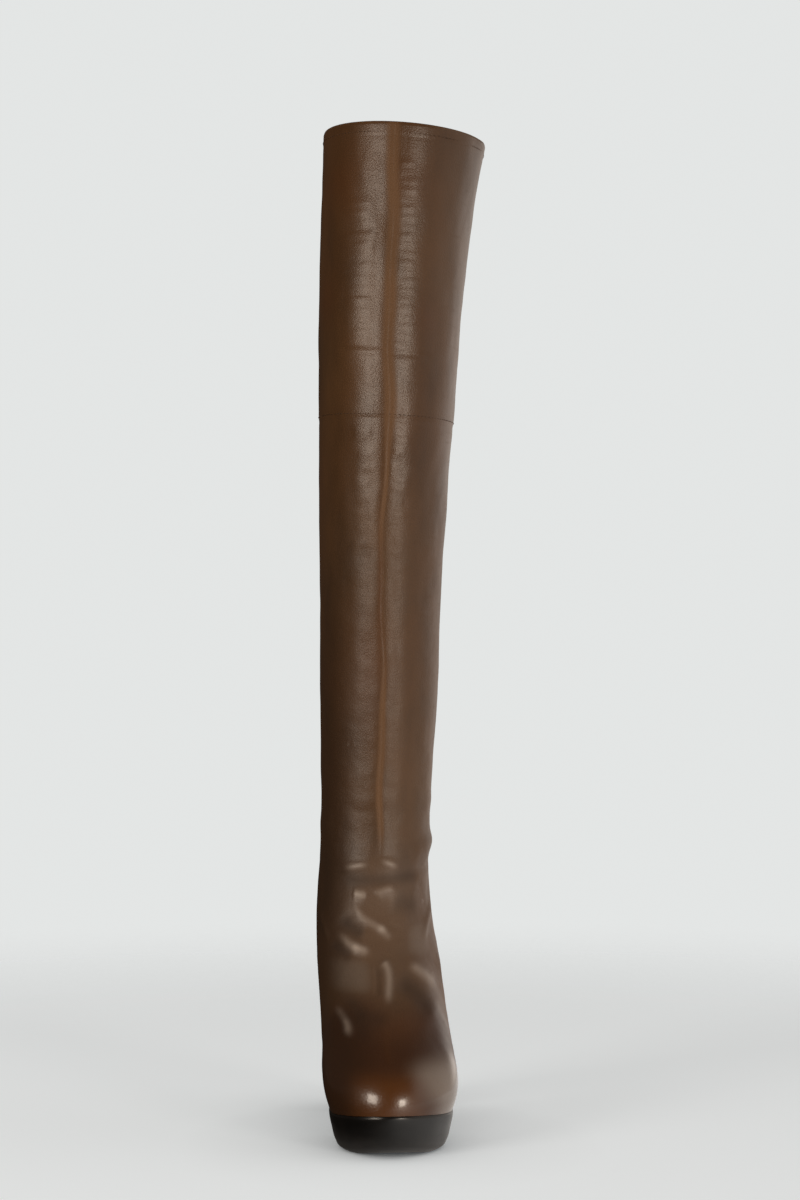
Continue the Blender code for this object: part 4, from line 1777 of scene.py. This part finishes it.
@dataclass
class Studio:
    """Pale floor, pale surroundings, soft lights and the camera."""

    backdrop: Colour = (0.772, 0.788, 0.782)
    floor_tone: Colour = (0.70, 0.80, 0.92)
    dim_side: Colour = (0.036, 0.029, 0.024)
    # Floor as the boot sees it: painted shade on the inner side, a painted glow on the outer side
    floor_shade_inner: Colour = (0.014, 0.012, 0.010)
    floor_outer: Colour = (0.77, 0.73, 0.69)
    glows: tuple[Glow, ...] = (
        Glow(98, 12, 0.93, 0.68, (0.54, 0.485, 0.435)),
        Glow(150, -9, 0.965, 0.86, (1.02, 0.92, 0.84)),
    )
    lights: tuple[SoftLight, ...] = (
        SoftLight("left_box", (-1.70, -1.40, 0.60), 0.88, 0.95, 20.0),
        SoftLight("right_box", (1.16, -1.87, 0.33), 0.56, 0.70, 16.0),
        SoftLight("overhead_box", (0.1, 0.2, 2.60), 2.2, 2.2, 8.0, mirrored=False),
    )
    floor_glow: float = 0.620
    floor_radius: float = 3.0
    floor_points: int = 96
    shade_reach: float = 0.105
    shade_power: float = 0.70
    shade_samples: int = 8
    # The floor's glow for the boot fades with distance and drops to painted shade close to the boot and on
    # its inner side
    bounce_far: Place = (1.0, 0.3)
    bounce_near: Place = (0.10, 0.30)
    bounce_least: float = 0.80
    bounce_side: Place = (-0.085, 0.05)
    fade: Place = (0.45, 1.25)
    camera_place: Point = (-0.1476, -1.9469, 0.363)
    camera_turn: float = 4.21
    lens: float = 84.5

    def _world(self) -> None:
        """Surroundings: pale for the camera, brighter behind and on the outer side for the boot."""
        world = bpy.data.worlds.new("studio")
        world.use_nodes = True
        bpy.context.scene.world = world
        w = Wiring(world.node_tree)
        world.node_tree.nodes.clear()
        way = w.out("TexCoord", name="Generated")
        colour = self.dim_side
        for glow in self.glows:
            near = w.out("VectorMath", {0: way, 1: glow.way()}, "Value", operation="DOT_PRODUCT")
            colour = w.mix(w.span(near, glow.outer, glow.inner), colour, glow.colour)
        lit = w.out("Background", {"Color": colour})
        seen = w.out("Background", {"Color": self.backdrop})
        w.add("OutputWorld", {"Surface": w.by_ray(lit, seen)})

    def _floor_material(self) -> bpy.types.Material:
        """Pale for the camera, with a painted contact shadow under the boot; for the boot a glow that stands
        in for the lit floor, bright on the outer side, with painted shade on the inner side and near the
        boot.

        Returns:
            The floor's material.
        """
        made = bpy.data.materials.new("pale_floor")
        made.use_nodes = True
        w = Wiring(made.node_tree)
        made.node_tree.nodes.clear()
        way = w.out("VectorMath", {0: w.places()}, "Value", operation="LENGTH")
        side = w.out("SeparateXYZ", {0: w.places()}, "X")
        matt = w.out("BsdfDiffuse", {"Color": self.floor_tone})
        reach = {"Distance": self.shade_reach}
        # The camera's glow dims near the boot: a painted contact shadow
        open_sky = w.out("AmbientOcclusion", reach, "AO", samples=self.shade_samples)
        strength = w.times(w.math("POWER", open_sky, self.shade_power), self.floor_glow)
        glow = w.out("Emission", {"Color": self.backdrop, "Strength": strength})
        seen = w.out("AddShader", {0: matt, 1: glow})
        # The boot sees a glow that stands in for the lit floor, with painted shade near the boot and on its
        # inner side
        close = w.times(w.span(way, *self.bounce_far), w.span(way, *self.bounce_near, self.bounce_least, 1.0))
        share = w.times(w.span(side, *self.bounce_side), close)
        lit = w.out("Emission", {"Color": w.mix(share, self.floor_shade_inner, self.floor_outer)})
        gone = {0: w.span(way, *self.fade), 1: w.by_ray(lit, seen), 2: w.out("BsdfTransparent")}
        w.add("OutputMaterial", {"Surface": w.out("MixShader", gone)})
        return made

    def _floor(self) -> None:
        """Round floor that runs out softly into the surroundings."""
        turns = np.linspace(0, 2 * math.pi, self.floor_points, endpoint=False)
        points = np.stack([np.cos(turns), np.sin(turns), np.zeros(len(turns))], axis=1) * self.floor_radius
        mesh = bpy.data.meshes.new("floor")
        mesh.from_pydata(points.tolist(), [], [tuple(range(len(turns)))])
        mesh.materials.append(self._floor_material())
        floor = add_object("floor", mesh)

    def _camera(self) -> None:
        """Camera at the photograph's height and angle, turned to the boot."""
        data = bpy.data.cameras.new("camera")
        data.lens = self.lens
        camera = add_object("camera", data)
        camera.location = self.camera_place
        camera.rotation_euler = (math.radians(90), 0.0, -math.radians(self.camera_turn))
        bpy.context.scene.camera = camera

    def build(self) -> None:
        """Set up surroundings, floor, lights and camera."""
        bpy.context.scene.view_settings.view_transform = "Standard"
        self._world()
        self._floor()
        for light in self.lights:
            light.build()
        self._camera()


def main() -> None:
    """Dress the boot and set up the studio."""
    logging.basicConfig(level=logging.INFO, format="%(message)s")
    form = BootForm()
    for part in (Upper(form), PlatformSole(form), BlockHeel(form), Insole(form)):
        part.dress()
    Studio().build()


if __name__ == "__main__":
    main()
